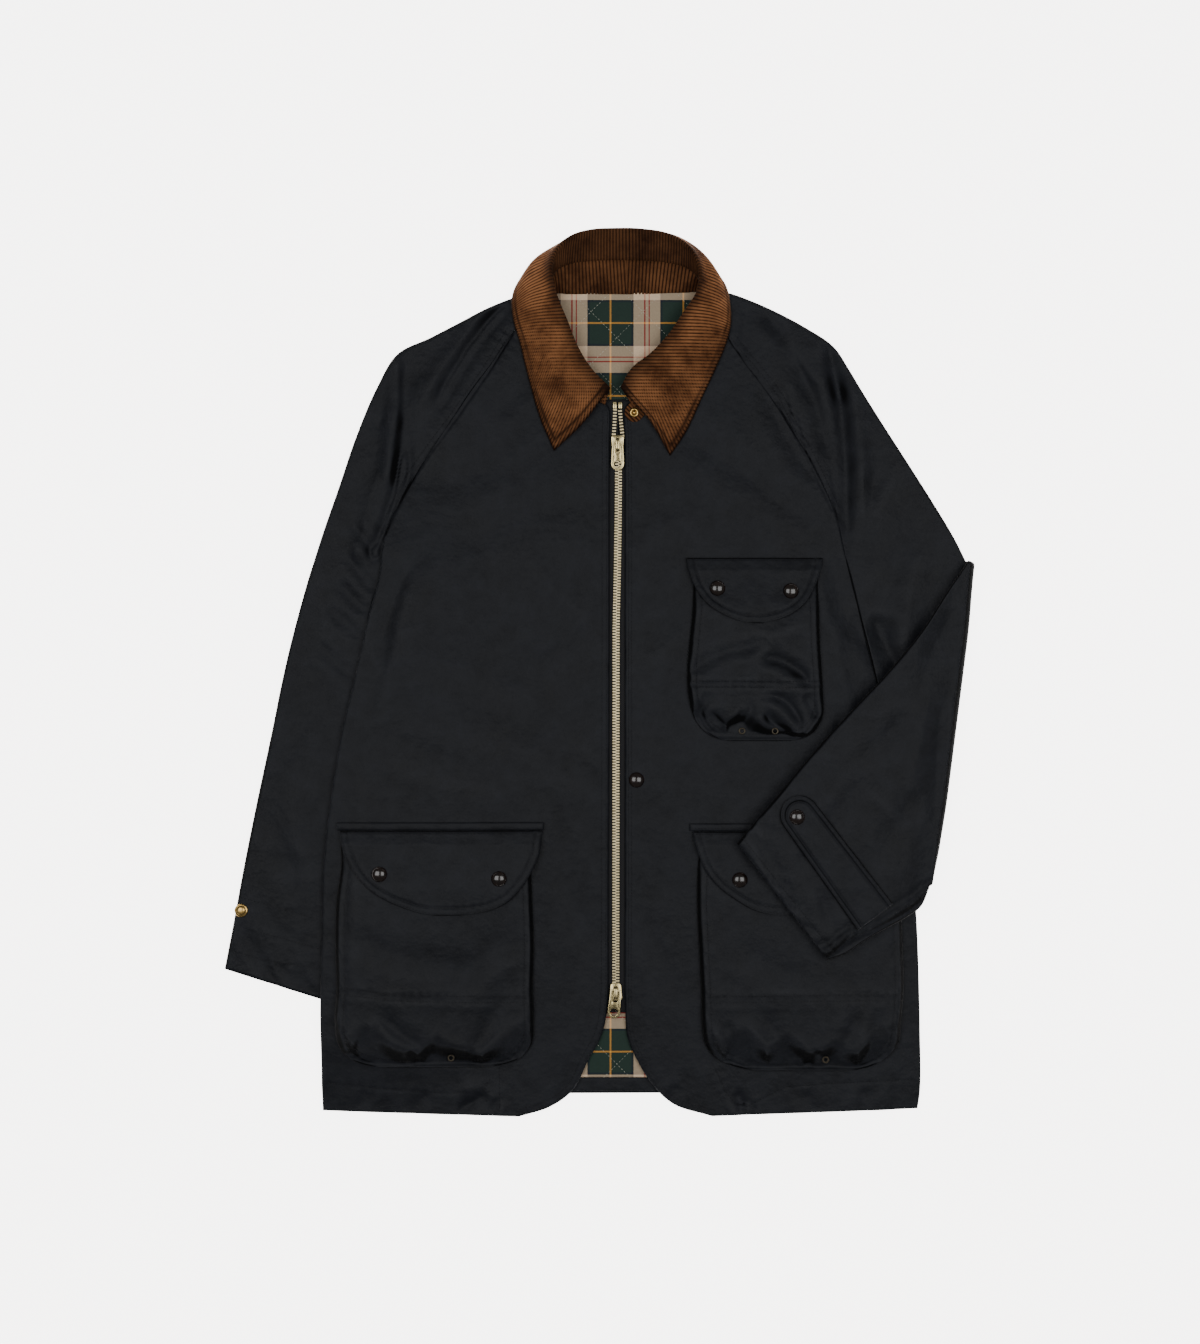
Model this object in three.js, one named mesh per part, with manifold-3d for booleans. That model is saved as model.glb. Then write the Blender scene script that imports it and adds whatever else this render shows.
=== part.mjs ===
// A waxed cotton jacket laid flat on its back, one sleeve folded once across the front.
// Millimetres, +Z up. Garment coordinates: x from the zip line, y up from the hem, z from the surface.
// "Right" and "left" are the wearer's, so the right side has negative x.
import * as THREE from 'three';
import Module from 'manifold-3d';
import { mergeVertices } from 'three/addons/utils/BufferGeometryUtils.js';

const wasm = await Module();
wasm.setup();

// Driving dimensions
const seamGap = 0.4;          // air between neighbouring pieces
const shell = 2.4;            // waxed cotton with its backing
const liningZ = 2.8;          // underside of the lining, on the back panel
const tapeZ = [4.5, 5.4];     // zip tape
const frontUnder = 5.8;       // underside of the fronts, clear of the lining
const sideDrop = 2.8;         // the fronts come down to the back at the side seams
const sideSlope = { width: 40, top: 575, height: 50 };
const frontBulk = 0.4;        // the fronts are this much thicker than one cloth, for the facing and seams
const frontWaves = [{ height: 0.35, x: 31, y: 57 }, { height: 0.3, x: -71, y: 43 }];
const frontLoft = 0.6;
const sleeveHalf = 4.3;       // half the thickness of a flattened sleeve
const tuckHeight = 2 * sleeveHalf + 0.6;
const tuckSlope = { top: 547, topHeight: 42, bottom: 38, bottomHeight: 52, reach: 71, width: 52, crown: 2.4 };
const foldRadius = 8.6;       // of the folded sleeve's centre line
const foldPinch = 0.45;       // share of that radius by which the fold stands out at its upper corner
const forearmRise = 7.6;      // the forearm climbs over the pocket
const forearmSlope = 46;      // within this distance of the fold
const capRadius = 7.7;
const capHeight = 2.8;
const chainWidth = 7.8;
const chain = { from: 134, to: 664, bottom: 5.8, top: 8.0 };
const pullLength = 29;

const shellCloth = material(0x202123, 0.45, 0);
const corduroy = material(0x5f3d24, 0.9, 0);
const liningCloth = material(0x8f8a72, 0.85, 0);
const brass = material(0xd2bd86, 0.35, 0.9);
const enamel = material(0x231d19, 0.25, 0.1);
const tapeCloth = material(0x141416, 0.8, 0);

const garment = new THREE.Group();

function material(color, roughness, metalness) {
  return new THREE.MeshStandardMaterial({ color, roughness, metalness });
}

function smooth(t) {
  const k = Math.min(Math.max(t, 0), 1);
  return k * k * (3 - 2 * k);
}

// Straight-line value of a column of a table whose rows are sorted by their first column.
function lookUp(table, key) {
  const down = table[0][0] > table[table.length - 1][0];
  const rows = down ? [...table].reverse() : table;
  if (key <= rows[0][0]) return rows[0][1];
  for (let i = 1; i < rows.length; i++) {
    if (key <= rows[i][0]) {
      const share = (key - rows[i - 1][0]) / (rows[i][0] - rows[i - 1][0]);
      return rows[i - 1][1] + share * (rows[i][1] - rows[i - 1][1]);
    }
  }
  return rows[rows.length - 1][1];
}

function signedVolume(positions, faces) {
  let volume = 0;
  const corner = faces.map((i) => new THREE.Vector3(...positions.slice(3 * i, 3 * i + 3)));
  for (let i = 0; i < corner.length; i += 3) {
    volume += corner[i].dot(new THREE.Vector3().crossVectors(corner[i + 1], corner[i + 2]));
  }
  return volume;
}

// A closed body between two grids of points of one size, joined all round their rim.
function bodyBetween(upper, under) {
  const rows = upper.length;
  const columns = upper[0].length;
  const positions = [];
  const faces = [];
  for (const p of [...upper.flat(), ...under.flat()]) positions.push(p.x, p.y, p.z);
  const at = (layer, r, c) => (layer * rows + r) * columns + c;
  const quad = (a, b, c, d) => faces.push(a, b, c, a, c, d);
  for (let r = 0; r + 1 < rows; r++) {
    for (let c = 0; c + 1 < columns; c++) {
      quad(at(0, r, c), at(0, r, c + 1), at(0, r + 1, c + 1), at(0, r + 1, c));
      quad(at(1, r + 1, c), at(1, r + 1, c + 1), at(1, r, c + 1), at(1, r, c));
    }
  }
  const rim = [];
  for (let c = 0; c < columns - 1; c++) rim.push([0, c]);
  for (let r = 0; r < rows - 1; r++) rim.push([r, columns - 1]);
  for (let c = columns - 1; c > 0; c--) rim.push([rows - 1, c]);
  for (let r = rows - 1; r > 0; r--) rim.push([r, 0]);
  rim.forEach(([r, c], i) => {
    const [nextR, nextC] = rim[(i + 1) % rim.length];
    quad(at(0, nextR, nextC), at(0, r, c), at(1, r, c), at(1, nextR, nextC));
  });
  if (signedVolume(positions, faces) < 0) faces.reverse();
  const geometry = new THREE.BufferGeometry();
  geometry.setAttribute('position', new THREE.Float32BufferAttribute(positions, 3));
  geometry.setIndex(faces);
  geometry.computeVertexNormals();
  return geometry;
}

function addPiece(name, geometry, finish) {
  const mesh = new THREE.Mesh(geometry, finish);
  mesh.name = name;
  garment.add(mesh);
  return mesh;
}

function smoothRail(points) {
  const curve = new THREE.CatmullRomCurve3(
    points.map(([x, y, z = 0]) => new THREE.Vector3(x, y, z)), false, 'centripetal');
  return (t) => curve.getPoint(t);
}

// Points between two rails: `steps` rows for each stretch of the rails, columns closer at the edges.
function railGrid(railA, railB, steps, columns, edgeCrowd = 0) {
  const a = smoothRail(railA);
  const b = smoothRail(railB);
  const rows = (railA.length - 1) * steps;
  const spread = (t) => t + edgeCrowd * (smooth(t) - t);
  return Array.from({ length: rows + 1 }, (_, r) => Array.from({ length: columns + 1 },
    (_, c) => a(r / rows).lerp(b(r / rows), spread(c / columns))));
}

function raised(grid, heightAt) {
  return grid.map((row) => row.map((p) => new THREE.Vector3(p.x, p.y, heightAt(p.x, p.y))));
}

const evenly = (thickness) => () => thickness;

// A cloth lying flat: both faces from the grid's points at their own heights.
function layFlat(grid, underAt, thickness) {
  return bodyBetween(raised(grid, (x, y) => underAt(x, y) + thickness(x, y)), raised(grid, underAt));
}

// Body outline. Columns: outer x, outer y, inner x, inner y, from the neck to the hem.
const rightFrontRows = [
  [-91, 799, -72, 799], [-109, 779, -68, 779], [-126, 754, -59, 755], [-145, 729, -43, 733],
  [-156, 713, -23, 720], [-167, 696, -9, 711], [-193, 657, -7.7, 677], [-214.6, 620, -7.7, 637],
  [-232, 581, -7.7, 595], [-238, 540, -7.7, 551], [-247, 505, -7.7, 514],
  [-255, 471, -7.7, 477], [-265, 428, -7.9, 433], [-275, 385, -8, 389],
  [-287, 313, -8.2, 317], [-293.5, 249, -8.4, 251], [-295, 184, -8.6, 187], [-296.5, 105, -9.5, 113],
  [-296, 77, -15, 83], [-295.5, 51, -29, 56], [-295.5, 33, -44, 27], [-295, 18, -67, 10],
  [-294.5, 6, -98, 0.2],
];
const leftFrontRows = [
  [94, 799, 77, 799], [111, 779, 71, 779], [129, 753, 59, 755], [145, 733, 38, 733],
  [155, 719, 23, 720], [168, 699, 9, 711], [189, 665, 8, 677], [208, 629, 8, 637],
  [219, 603, 8, 605], [229, 561, 8, 565], [251, 483, 8, 489], [268, 403, 8, 407],
  [281, 331, 8, 333], [291, 267, 8, 267], [299, 212, 8, 212], [303, 113, 8, 116],
  [303.5, 83, 10.5, 80], [304, 57, 20, 57], [304, 37, 35, 33], [303, 21, 56, 13],
  [301, 8, 95, 0.5],
];
const sideEdge = {
  right: rightFrontRows.slice(8).map(([x, y]) => [y, x]),
  left: leftFrontRows.slice(8).map(([x, y]) => [y, x]),
};

// Inner edge of the right sleeve where it lies under the body. Columns: y, x.
const tuckedEdge = [[545, -241], [495, -252], [427, -217], [339, -189], [261, -199], [203, -218],
  [145, -240], [106, -260]];

// How far the body is held up by the sleeve under its right edge.
function tuckLift(x, y) {
  const { top, topHeight, bottom, bottomHeight, reach, width } = tuckSlope;
  const along = smooth((top - y) / topHeight) * smooth((y - bottom) / bottomHeight);
  const under = smooth((lookUp(tuckedEdge, y) + reach - x) / width);
  return tuckHeight * along * under;
}

// Large folds. Columns: x and y of both ends, depth (a ridge is negative), half width.
const folds = [
  [-112, 780, -168, 708, 1.6, 11], [-40, 610, -150, 575, 0.8, 18], [-36, 470, -120, 440, 0.7, 20],
  [-200, 560, -236, 470, 1.2, 12], [60, 690, 140, 640, 0.8, 16], [150, 720, 196, 640, 1.2, 10],
  [40, 330, 90, 420, 0.9, 18], [-60, 300, -30, 180, 0.8, 16], [120, 22, 135, 4, 1.4, 7],
  [-132, 22, -157, 6, 1.3, 8], [30, 200, 62, 120, 0.7, 14], [-220, 640, -120, 650, 0.7, 20],
];

const foldShare = { under: 0.5, thinning: 0.35 };

function foldDepth(x, y) {
  let depth = 0;
  for (const [ax, ay, bx, by, deep, wide] of folds) {
    const dx = bx - ax;
    const dy = by - ay;
    const t = Math.min(Math.max(((x - ax) * dx + (y - ay) * dy) / (dx * dx + dy * dy), 0), 1);
    const away = Math.hypot(x - ax - t * dx, y - ay - t * dy) / wide;
    depth += deep * Math.exp(-away * away);
  }
  return depth;
}

function frontUnderAt(x, y) {
  const lift = tuckLift(x, y);
  const crown = tuckSlope.crown * 4 * (lift / tuckHeight) * (1 - lift / tuckHeight);
  const edge = Math.abs(lookUp(x < 0 ? sideEdge.right : sideEdge.left, y));
  const { width, top, height } = sideSlope;
  const drop = sideDrop * (1 - smooth((edge - Math.abs(x)) / width)) * smooth((top - y) / height);
  const away = smooth(Math.abs(x) / width) * smooth(1 - drop);
  let loft = frontLoft;
  for (const wave of frontWaves) loft += wave.height * Math.sin(x / wave.x + y / wave.y);
  return frontUnder - drop + lift + crown + loft * away - foldShare.under * foldDepth(x, y);
}

function frontTopAt(x, y) {
  return frontUnderAt(x, y) + shell + frontBulk - foldShare.thinning * foldDepth(x, y);
}

function addFront(name, rows) {
  const outer = rows.map(([x, y]) => [x, y]);
  const inner = rows.map(([, , x, y]) => [x, y]);
  const grid = railGrid(outer, inner, 1, 18, 0.3);
  addPiece(name, bodyBetween(raised(grid, frontTopAt), raised(grid, frontUnderAt)), shellCloth);
}

function addBack() {
  // Columns: left-hand x and y, right-hand x and y, from the neck to the hem.
  const rows = [
    [-60, 822, 77, 823], [-65, 806, 70, 806], [-69, 796.5, 75, 797], [-89, 794, 92, 794.5],
    [-109, 777, 111, 777],
    [-126, 752, 128, 751], [-145, 727, 144, 731], [-167, 694, 167, 697], [-193, 655, 188, 663],
    [-214, 618, 207, 627], [-231, 580, 218, 601], [-236, 540, 228, 560], [-245, 505, 239, 520],
    [-253, 471, 249, 483], [-263, 430, 258, 443], [-273, 385, 266, 403], [-285, 313, 279, 331],
    [-291, 249, 289, 267], [-293, 205, 297, 212], [-293, 160, 299, 160], [-294, 105, 301, 113],
    [-294, 77, 301, 80], [-293, 50, 302, 55], [-293, 22, 301, 24],
  ];
  const grid = railGrid(rows.map(([x, y]) => [x, y]), rows.map(([, , x, y]) => [x, y]), 1, 20, 0.2);
  addPiece('back_panel', layFlat(grid, tuckLift, evenly(shell)), shellCloth);
}

// A sleeve is one cloth rolled from the upper seam, round the outer fold and back underneath.
// A section has its outer and inner point, the way its upper face looks and how far its inner edge is closed.
const sleeveShares = [0, 0.012, 0.05, 0.2, 0.5, 0.8, 0.95, 0.988, 1];
const innerEdgeShare = 0.12;  // of the half thickness, left open at a closed inner edge

function sleeveGrid(sections, inset) {
  return sections.map(({ outer, inner, normal, closed }) => {
    const across = new THREE.Vector3().subVectors(outer, inner);
    const width = across.length();
    across.normalize();
    const half = sleeveHalf - inset;
    const row = [];
    for (const side of [1, -1]) {
      const order = side > 0 ? sleeveShares : [...sleeveShares].reverse().slice(1);
      for (const s of order) {
        const from = THREE.MathUtils.lerp(inset * closed, width - inset, s);
        const round = (distance) => Math.sqrt(Math.max(0, 1 - (1 - Math.min(distance / half, 1)) ** 2));
        const toOuter = round(width - inset - from);
        const toInner = THREE.MathUtils.lerp(1, Math.max(round(from - inset), innerEdgeShare), closed);
        row.push(inner.clone().addScaledVector(across, from)
          .addScaledVector(normal, side * half * Math.min(toOuter, toInner)));
      }
    }
    return row;
  });
}

function addSleeve(name, sections) {
  addPiece(name, bodyBetween(sleeveGrid(sections, 0), sleeveGrid(sections, shell)), shellCloth);
}

function flatSection([ox, oy, ix, iy], closed, height = sleeveHalf, face = 1) {
  return {
    outer: new THREE.Vector3(ox, oy, height),
    inner: new THREE.Vector3(ix, iy, height),
    normal: new THREE.Vector3(0, 0, face),
    closed,
  };
}

// Columns: outer x, outer y, inner x, inner y, how far the inner edge is closed.
const rightSleeveRows = [
  [-84, 826, -72.5, 800.6, 0], [-104, 820, -91.5, 799.8, 0], [-131, 809, -110, 779.6, 0],
  [-157, 795.5, -127, 754.8, 0], [-187, 780, -146, 729.8, 0], [-220, 763.5, -168, 696.8, 0],
  [-241, 729, -194, 657.8, 0], [-262, 679, -215.6, 620.8, 0], [-279, 629, -233, 582, 0],
  [-293, 589, -241, 545, 0.6], [-303, 558, -249, 518, 1], [-312, 529, -253, 495, 1],
  [-328, 469, -217, 427, 1], [-337, 429, -199, 383, 1],
  [-345, 389, -189, 339, 1], [-362, 309, -199, 261, 1], [-374, 249, -218, 203, 1],
  [-385, 189, -240, 145, 1], [-393, 148, -260, 106, 1],
];
const leftUpperRows = [
  [89, 828, 77.6, 800, 0], [111, 825, 95, 800, 0], [133, 817.5, 112, 780, 0],
  [158, 806.5, 130, 753.7, 0], [189, 790, 156, 719.7, 0], [217, 771, 190, 665.7, 0],
  [232, 749, 209, 629.7, 0], [244, 729, 220, 603.7, 0], [264, 697, 231.5, 561, 0.6],
  [291, 655, 247, 505, 1], [317, 614, 262.5, 445, 1], [338, 579, 283, 347, 1],
];
const foldLine = [349.465, 556, 311.5, 232];
const forearmRows = [
  [327, 523, 303, 212, 1], [305, 489, 290, 202, 1], [269, 445, 273, 193, 1],
  [235, 409, 258, 185, 1], [201, 372, 243, 176, 1], [163, 327, 226, 165, 1],
  [119, 275, 209, 159, 1],
];

function forearmHeight(x, y) {
  const foldX = foldLine[2] + (foldLine[0] - foldLine[2]) * (y - foldLine[3]) / (foldLine[1] - foldLine[3]);
  return sleeveHalf + 2 * foldRadius + forearmRise * smooth((foldX - x) / forearmSlope);
}

function foldedSleeveSections() {
  const sections = leftUpperRows.map((row) => flatSection(row, row[4]));
  const [ox, oy, ix, iy] = foldLine;
  const outward = new THREE.Vector3(oy - iy, ix - ox, 0).normalize();
  const turns = 6;
  for (let k = 0; k <= turns; k++) {
    const angle = Math.PI * k / turns;
    const reach = foldRadius * Math.sin(angle);
    const height = sleeveHalf + foldRadius * (1 - Math.cos(angle));
    const section = flatSection([ox, oy, ix, iy], 1, height);
    section.outer.addScaledVector(outward, reach * foldPinch);
    section.inner.addScaledVector(outward, reach);
    section.normal = new THREE.Vector3(0, 0, Math.cos(angle)).addScaledVector(outward, -Math.sin(angle));
    sections.push(section);
  }
  for (const row of forearmRows) {
    const section = flatSection(row, 1, 0, -1);
    for (const end of [section.outer, section.inner]) end.z = forearmHeight(end.x, end.y);
    sections.push(section);
  }
  return sections;
}

// Collar. Columns: neck seam, ridge, middle of the leaf and leaf edge, each as x, y, z.
const collarRows = [
  [-12, 712, 11.1, -7, 728, 17.5, -35, 692, 16.2, -63, 666, 11.2],
  [-31, 724, 11.2, -26, 747, 20.5, -52, 723, 18.4, -77, 699, 11.2],
  [-47, 740, 11.5, -40, 769, 24, -64, 751, 20, -87, 733, 11.2],
  [-60, 762, 11.5, -51, 796, 27, -75, 786, 21, -97, 773, 11.2],
  [-66, 790, 11.4, -61, 821, 27, -85, 812, 20.5, -104, 799, 11.2],
  [-66, 813, 9.5, -66, 846, 24, -90, 833, 16, -105, 819, 11.2],
  [-61, 823.5, 6.6, -61, 865, 19, -84, 855, 11, -97, 836, 3.6],
  [-50, 823.5, 4.8, -45, 880, 15, -66, 867, 7, -68, 842, 1.9],
  [-26, 823.5, 4.2, -26, 886, 13.4, -34, 884, 5, -36, 847, 1.9],
  [-3, 823.5, 4.1, -3, 887.5, 13, -3, 887, 4.8, -3, 849, 1.9],
  [24, 823.5, 4.1, 23, 887, 13, 24, 886.5, 4.8, 26, 849, 1.9],
  [48, 824.5, 4.2, 51, 882, 13.4, 60, 880, 5, 56, 847, 1.9],
  [70, 825, 4.8, 71, 870, 15, 86, 863, 8, 88, 842, 2.2],
  [80, 825, 7, 82, 849, 19, 99, 843, 13.5, 107, 834, 8.6],
  [82, 812, 10, 80, 824, 24, 101, 812, 19, 114, 799, 11.4],
  [77, 790, 11.5, 67, 803, 27, 89, 792, 21, 110, 776, 11.2],
  [68, 765, 11.5, 52, 781, 26, 76, 764, 20, 99, 749, 11.2],
  [53, 745, 11.5, 34, 762, 22, 60, 740, 18.5, 85, 719, 11.2],
  [40, 724, 12.0, 15, 747, 20.5, 42, 714, 16.5, 69, 685, 11.2],
  [17, 709, 12.1, 4, 728, 18.5, 33, 695, 17.0, 53, 661, 11.3],
];
const collarThick = 2.2;
const collarTurn = { inward: 0.82, over: 0.35 };   // where the section bends on either side of its ridge
const collarShares = [0, 0.055, 0.11, 0.121, 0.155, 0.2, 0.27, 0.34, 0.4, 0.46, 0.53, 0.6, 0.7, 0.8, 0.9, 1];
const standColumns = 3;

// Section of the collar at one row: from the neck seam up to the ridge, over it and out to the edge.
function collarSection([nx, ny, nz, rx, ry, rz, mx, my, mz, ex, ey, ez]) {
  const neck = new THREE.Vector3(nx, ny, nz);
  const ridge = new THREE.Vector3(rx, ry, rz);
  const middle = new THREE.Vector3(mx, my, mz);
  const edge = new THREE.Vector3(ex, ey, ez);
  const inward = neck.clone().lerp(ridge, collarTurn.inward);
  const over = ridge.clone().lerp(middle, collarTurn.over);
  return new THREE.CatmullRomCurve3([neck, inward, ridge, over, middle, edge], false, 'centripetal');
}

function offsetGrid(grid, distance) {
  const last = grid.length - 1;
  const lastColumn = grid[0].length - 1;
  return grid.map((row, r) => row.map((p, c) => {
    const alongRow = row[Math.min(c + 1, lastColumn)].clone().sub(row[Math.max(c - 1, 0)]);
    const acrossRows = grid[Math.min(r + 1, last)][c].clone().sub(grid[Math.max(r - 1, 0)][c]);
    return p.clone().addScaledVector(alongRow.cross(acrossRows).normalize(), distance);
  }));
}

function addCollar() {
  const rails = collarRows.map(collarSection);
  const grid = rails.map((curve) => collarShares.map((share) => curve.getPoint(share)));
  const faces = [offsetGrid(grid, collarThick / 2), offsetGrid(grid, -collarThick / 2)];
  const columns = (from, to) => faces.map((face) => face.map((row) => row.slice(from, to)));
  addPiece('collar_stand', bodyBetween(...columns(0, standColumns)), corduroy);
  addPiece('collar_fall', bodyBetween(...columns(standColumns)), corduroy);
}

// Lining, shown at the neck and at the hem opening. Columns: left x and y, right x and y.
const neckLiningRows = [
  [-57, 820, 76, 821], [-62, 800, 70, 800], [-60, 775, 66, 778], [-52, 750, 55, 752],
  [-36, 730, 36, 732], [-16, 712, 16, 712],
];
const hemLiningRows = [[-50, 112, 44, 112], [-52, 75, 46, 75], [-54, 39, 48, 39]];
const hemFacingRows = [[-70, 38.5, 60, 38.5], [-71, 32, 61, 32], [-72, 25, 62, 25]];
const quilt = { pitch: 52, thin: 0.9, swell: 0.4 };
const facingThick = 1.1;

// Quilted thickness: thin along two slanting sets of stitch lines.
function quiltThickness(x, y) {
  const ridge = (t) => Math.abs(Math.sin(Math.PI * t / quilt.pitch));
  return quilt.thin + quilt.swell * Math.sqrt(ridge(x + y) * ridge(x - y));
}

function addLaid(name, rows, steps, columns, underAt, thickness, finish) {
  const grid = railGrid(rows.map(([x, y]) => [x, y]), rows.map(([, , x, y]) => [x, y]), steps, columns);
  addPiece(name, layFlat(grid, underAt, thickness), finish);
}

// Zip. The closed chain leans a little from the hem to the collar.
const chainX = (y) => -1.0 + (y - 132) / 198;
const tapeEnds = [104, 718];
const tapeWidth = 15;
const tapeGap = 0.25;
const topStops = { size: [3.6, 6.6, 2.4], above: 0.3, y: 712, right: -2.2, left: 3.2 };
const sliderBody = {
  width: 12.7, rear: 10.6, length: 17.4, nose: 7.4, shoulder: 3, corner: 1.5, bottom: 5.8, top: 10.4,
  forward: 0.2,
};
const bail = { width: 3.4, inside: 3.4, wall: 1.3, before: 3, behind: 7.6, sunk: 0.6, turn: 2 };
const pull = {
  bar: 0.9, above: 1.3, top: 10.6, bottom: 12.8, thick: 1.8, slot: 5.2, slotEnd: 11.4, slotTurn: 1.5,
  hole: 3.8, holeAt: 21.6,
};
const pullTilt = 3.5;
const pulls = {
  upper: { x: 0.6, y: 674.6, lean: 0, noseUp: 1 },
  lower: { x: -1.25, y: 126.4, lean: -5, noseUp: -1 },
};

function addZip() {
  for (const [name, side] of [['zip_tape_right', -1], ['zip_tape_left', 1]]) {
    const rows = [tapeEnds[1], (tapeEnds[0] + tapeEnds[1]) / 2, tapeEnds[0]].map((y) => {
      const near = chainX(y) + side * tapeGap;
      const far = near + side * tapeWidth;
      return [near, y, far, y];
    });
    addLaid(name, rows, 2, 3, () => tapeZ[0], evenly(tapeZ[1] - tapeZ[0]), tapeCloth);
  }
  const chainRows = [chain.to, chain.from].map((y) => [
    chainX(y) - chainWidth / 2, y, chainX(y) + chainWidth / 2, y]);
  addLaid('zip_chain', chainRows, 4, 4, () => chain.bottom, evenly(chain.top - chain.bottom), brass);
  for (const [name, x] of [['top_stop_right', topStops.right], ['top_stop_left', topStops.left]]) {
    const stop = new THREE.BoxGeometry(...topStops.size);
    addPiece(name, stop, brass).position.set(x, topStops.y, tapeZ[1] + topStops.above + topStops.size[2] / 2);
  }
}

function solid(geometry) {
  const bare = geometry.clone().deleteAttribute('normal').deleteAttribute('uv');
  const merged = mergeVertices(bare.index ? bare.toNonIndexed() : bare, 1e-4);
  return new wasm.Manifold(new wasm.Mesh({
    numProp: 3,
    vertProperties: merged.getAttribute('position').array,
    triVerts: new Uint32Array(merged.index.array),
  }));
}

function geometryOf(manifold) {
  const mesh = manifold.getMesh();
  const geometry = new THREE.BufferGeometry();
  geometry.setAttribute('position', new THREE.Float32BufferAttribute(mesh.vertProperties, 3));
  geometry.setIndex(new THREE.Uint32BufferAttribute(mesh.triVerts, 1));
  geometry.computeVertexNormals();
  return geometry;
}

function sliderOutline() {
  const { width, rear, length, nose, shoulder, corner } = sliderBody;
  const shape = new THREE.Shape();
  shape.moveTo(-width / 2, nose - shoulder);
  shape.quadraticCurveTo(-width / 2, nose, -width / 4, nose);
  shape.lineTo(width / 4, nose);
  shape.quadraticCurveTo(width / 2, nose, width / 2, nose - shoulder);
  shape.lineTo(rear / 2, nose - length + corner);
  shape.lineTo(rear / 2 - corner, nose - length);
  shape.lineTo(corner - rear / 2, nose - length);
  shape.lineTo(-rear / 2, nose - length + corner);
  return shape;
}

function bailOutline() {
  const { inside, wall, before, behind, sunk, turn } = bail;
  const shape = new THREE.Shape();
  shape.moveTo(before + wall, -sunk);
  shape.lineTo(before + wall, inside / 2);
  shape.quadraticCurveTo(before + wall, inside + wall, before - turn, inside + wall);
  shape.lineTo(turn - behind, inside + wall);
  shape.quadraticCurveTo(-behind - wall, inside + wall, -behind - wall, inside / 2);
  shape.lineTo(-behind - wall, -sunk);
  shape.lineTo(-behind, -sunk);
  shape.lineTo(-behind, inside / 2);
  shape.quadraticCurveTo(-behind, inside, turn - behind, inside);
  shape.lineTo(before - turn, inside);
  shape.quadraticCurveTo(before, inside, before, inside / 2);
  shape.lineTo(before, -sunk);
  return shape;
}

// The body narrows away from its nose, and the bail is an arch along it that the pull tab hangs on.
function addSlider(name, { x, y, noseUp }) {
  const { length, nose, bottom, top, forward } = sliderBody;
  const extrusion = { bevelEnabled: false, curveSegments: 4 };
  const bodyShape = new THREE.ExtrudeGeometry(sliderOutline(), { ...extrusion, depth: top - bottom });
  if (noseUp < 0) bodyShape.rotateZ(Math.PI);
  bodyShape.translate(0, noseUp < 0 ? 2 * nose - length - forward : 0, bottom);
  const bailShape = new THREE.ExtrudeGeometry(bailOutline(), { ...extrusion, depth: bail.width });
  bailShape.translate(0, 0, -bail.width / 2);
  bailShape.applyMatrix4(new THREE.Matrix4().makeBasis(
    new THREE.Vector3(0, 1, 0), new THREE.Vector3(0, 0, 1), new THREE.Vector3(1, 0, 0)));
  bailShape.translate(0, 0, top);
  addPiece(name, geometryOf(solid(bodyShape).add(solid(bailShape))), brass).position.set(x, y, 0);
}

// A tab that hangs by its end bar: the slot takes the bail, and the far end has a round hole.
function addPull(name, { x, y, lean }) {
  const { bar, above, top, bottom, thick, slot, slotEnd, slotTurn, hole, holeAt } = pull;
  const end = above - pullLength;
  const tab = new THREE.Shape();
  tab.moveTo(-top / 2, bar);
  tab.lineTo(-bottom / 2, end + bottom / 2);
  tab.absarc(0, end + bottom / 2, bottom / 2, Math.PI, 2 * Math.PI, false);
  tab.lineTo(top / 2, bar);
  const slotPath = new THREE.Path();
  slotPath.moveTo(-slot / 2, -bar);
  slotPath.lineTo(slot / 2, -bar);
  slotPath.lineTo(slot / 2, -slotEnd + slotTurn);
  slotPath.quadraticCurveTo(slot / 2, -slotEnd, 0, -slotEnd);
  slotPath.quadraticCurveTo(-slot / 2, -slotEnd, -slot / 2, -slotEnd + slotTurn);
  const round = new THREE.Path();
  round.absarc(0, -holeAt, hole, 0, 2 * Math.PI, true);
  tab.holes.push(slotPath, round);
  const geometry = new THREE.ExtrudeGeometry(tab, { depth: thick, bevelEnabled: false, curveSegments: 10 });
  geometry.translate(0, 0, -thick / 2);
  const mesh = addPiece(name, geometry, brass);
  mesh.rotation.set(THREE.MathUtils.degToRad(pullTilt), 0, THREE.MathUtils.degToRad(lean), 'ZXY');
  mesh.position.set(x, y, sliderBody.top + bail.inside / 2);
}

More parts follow.
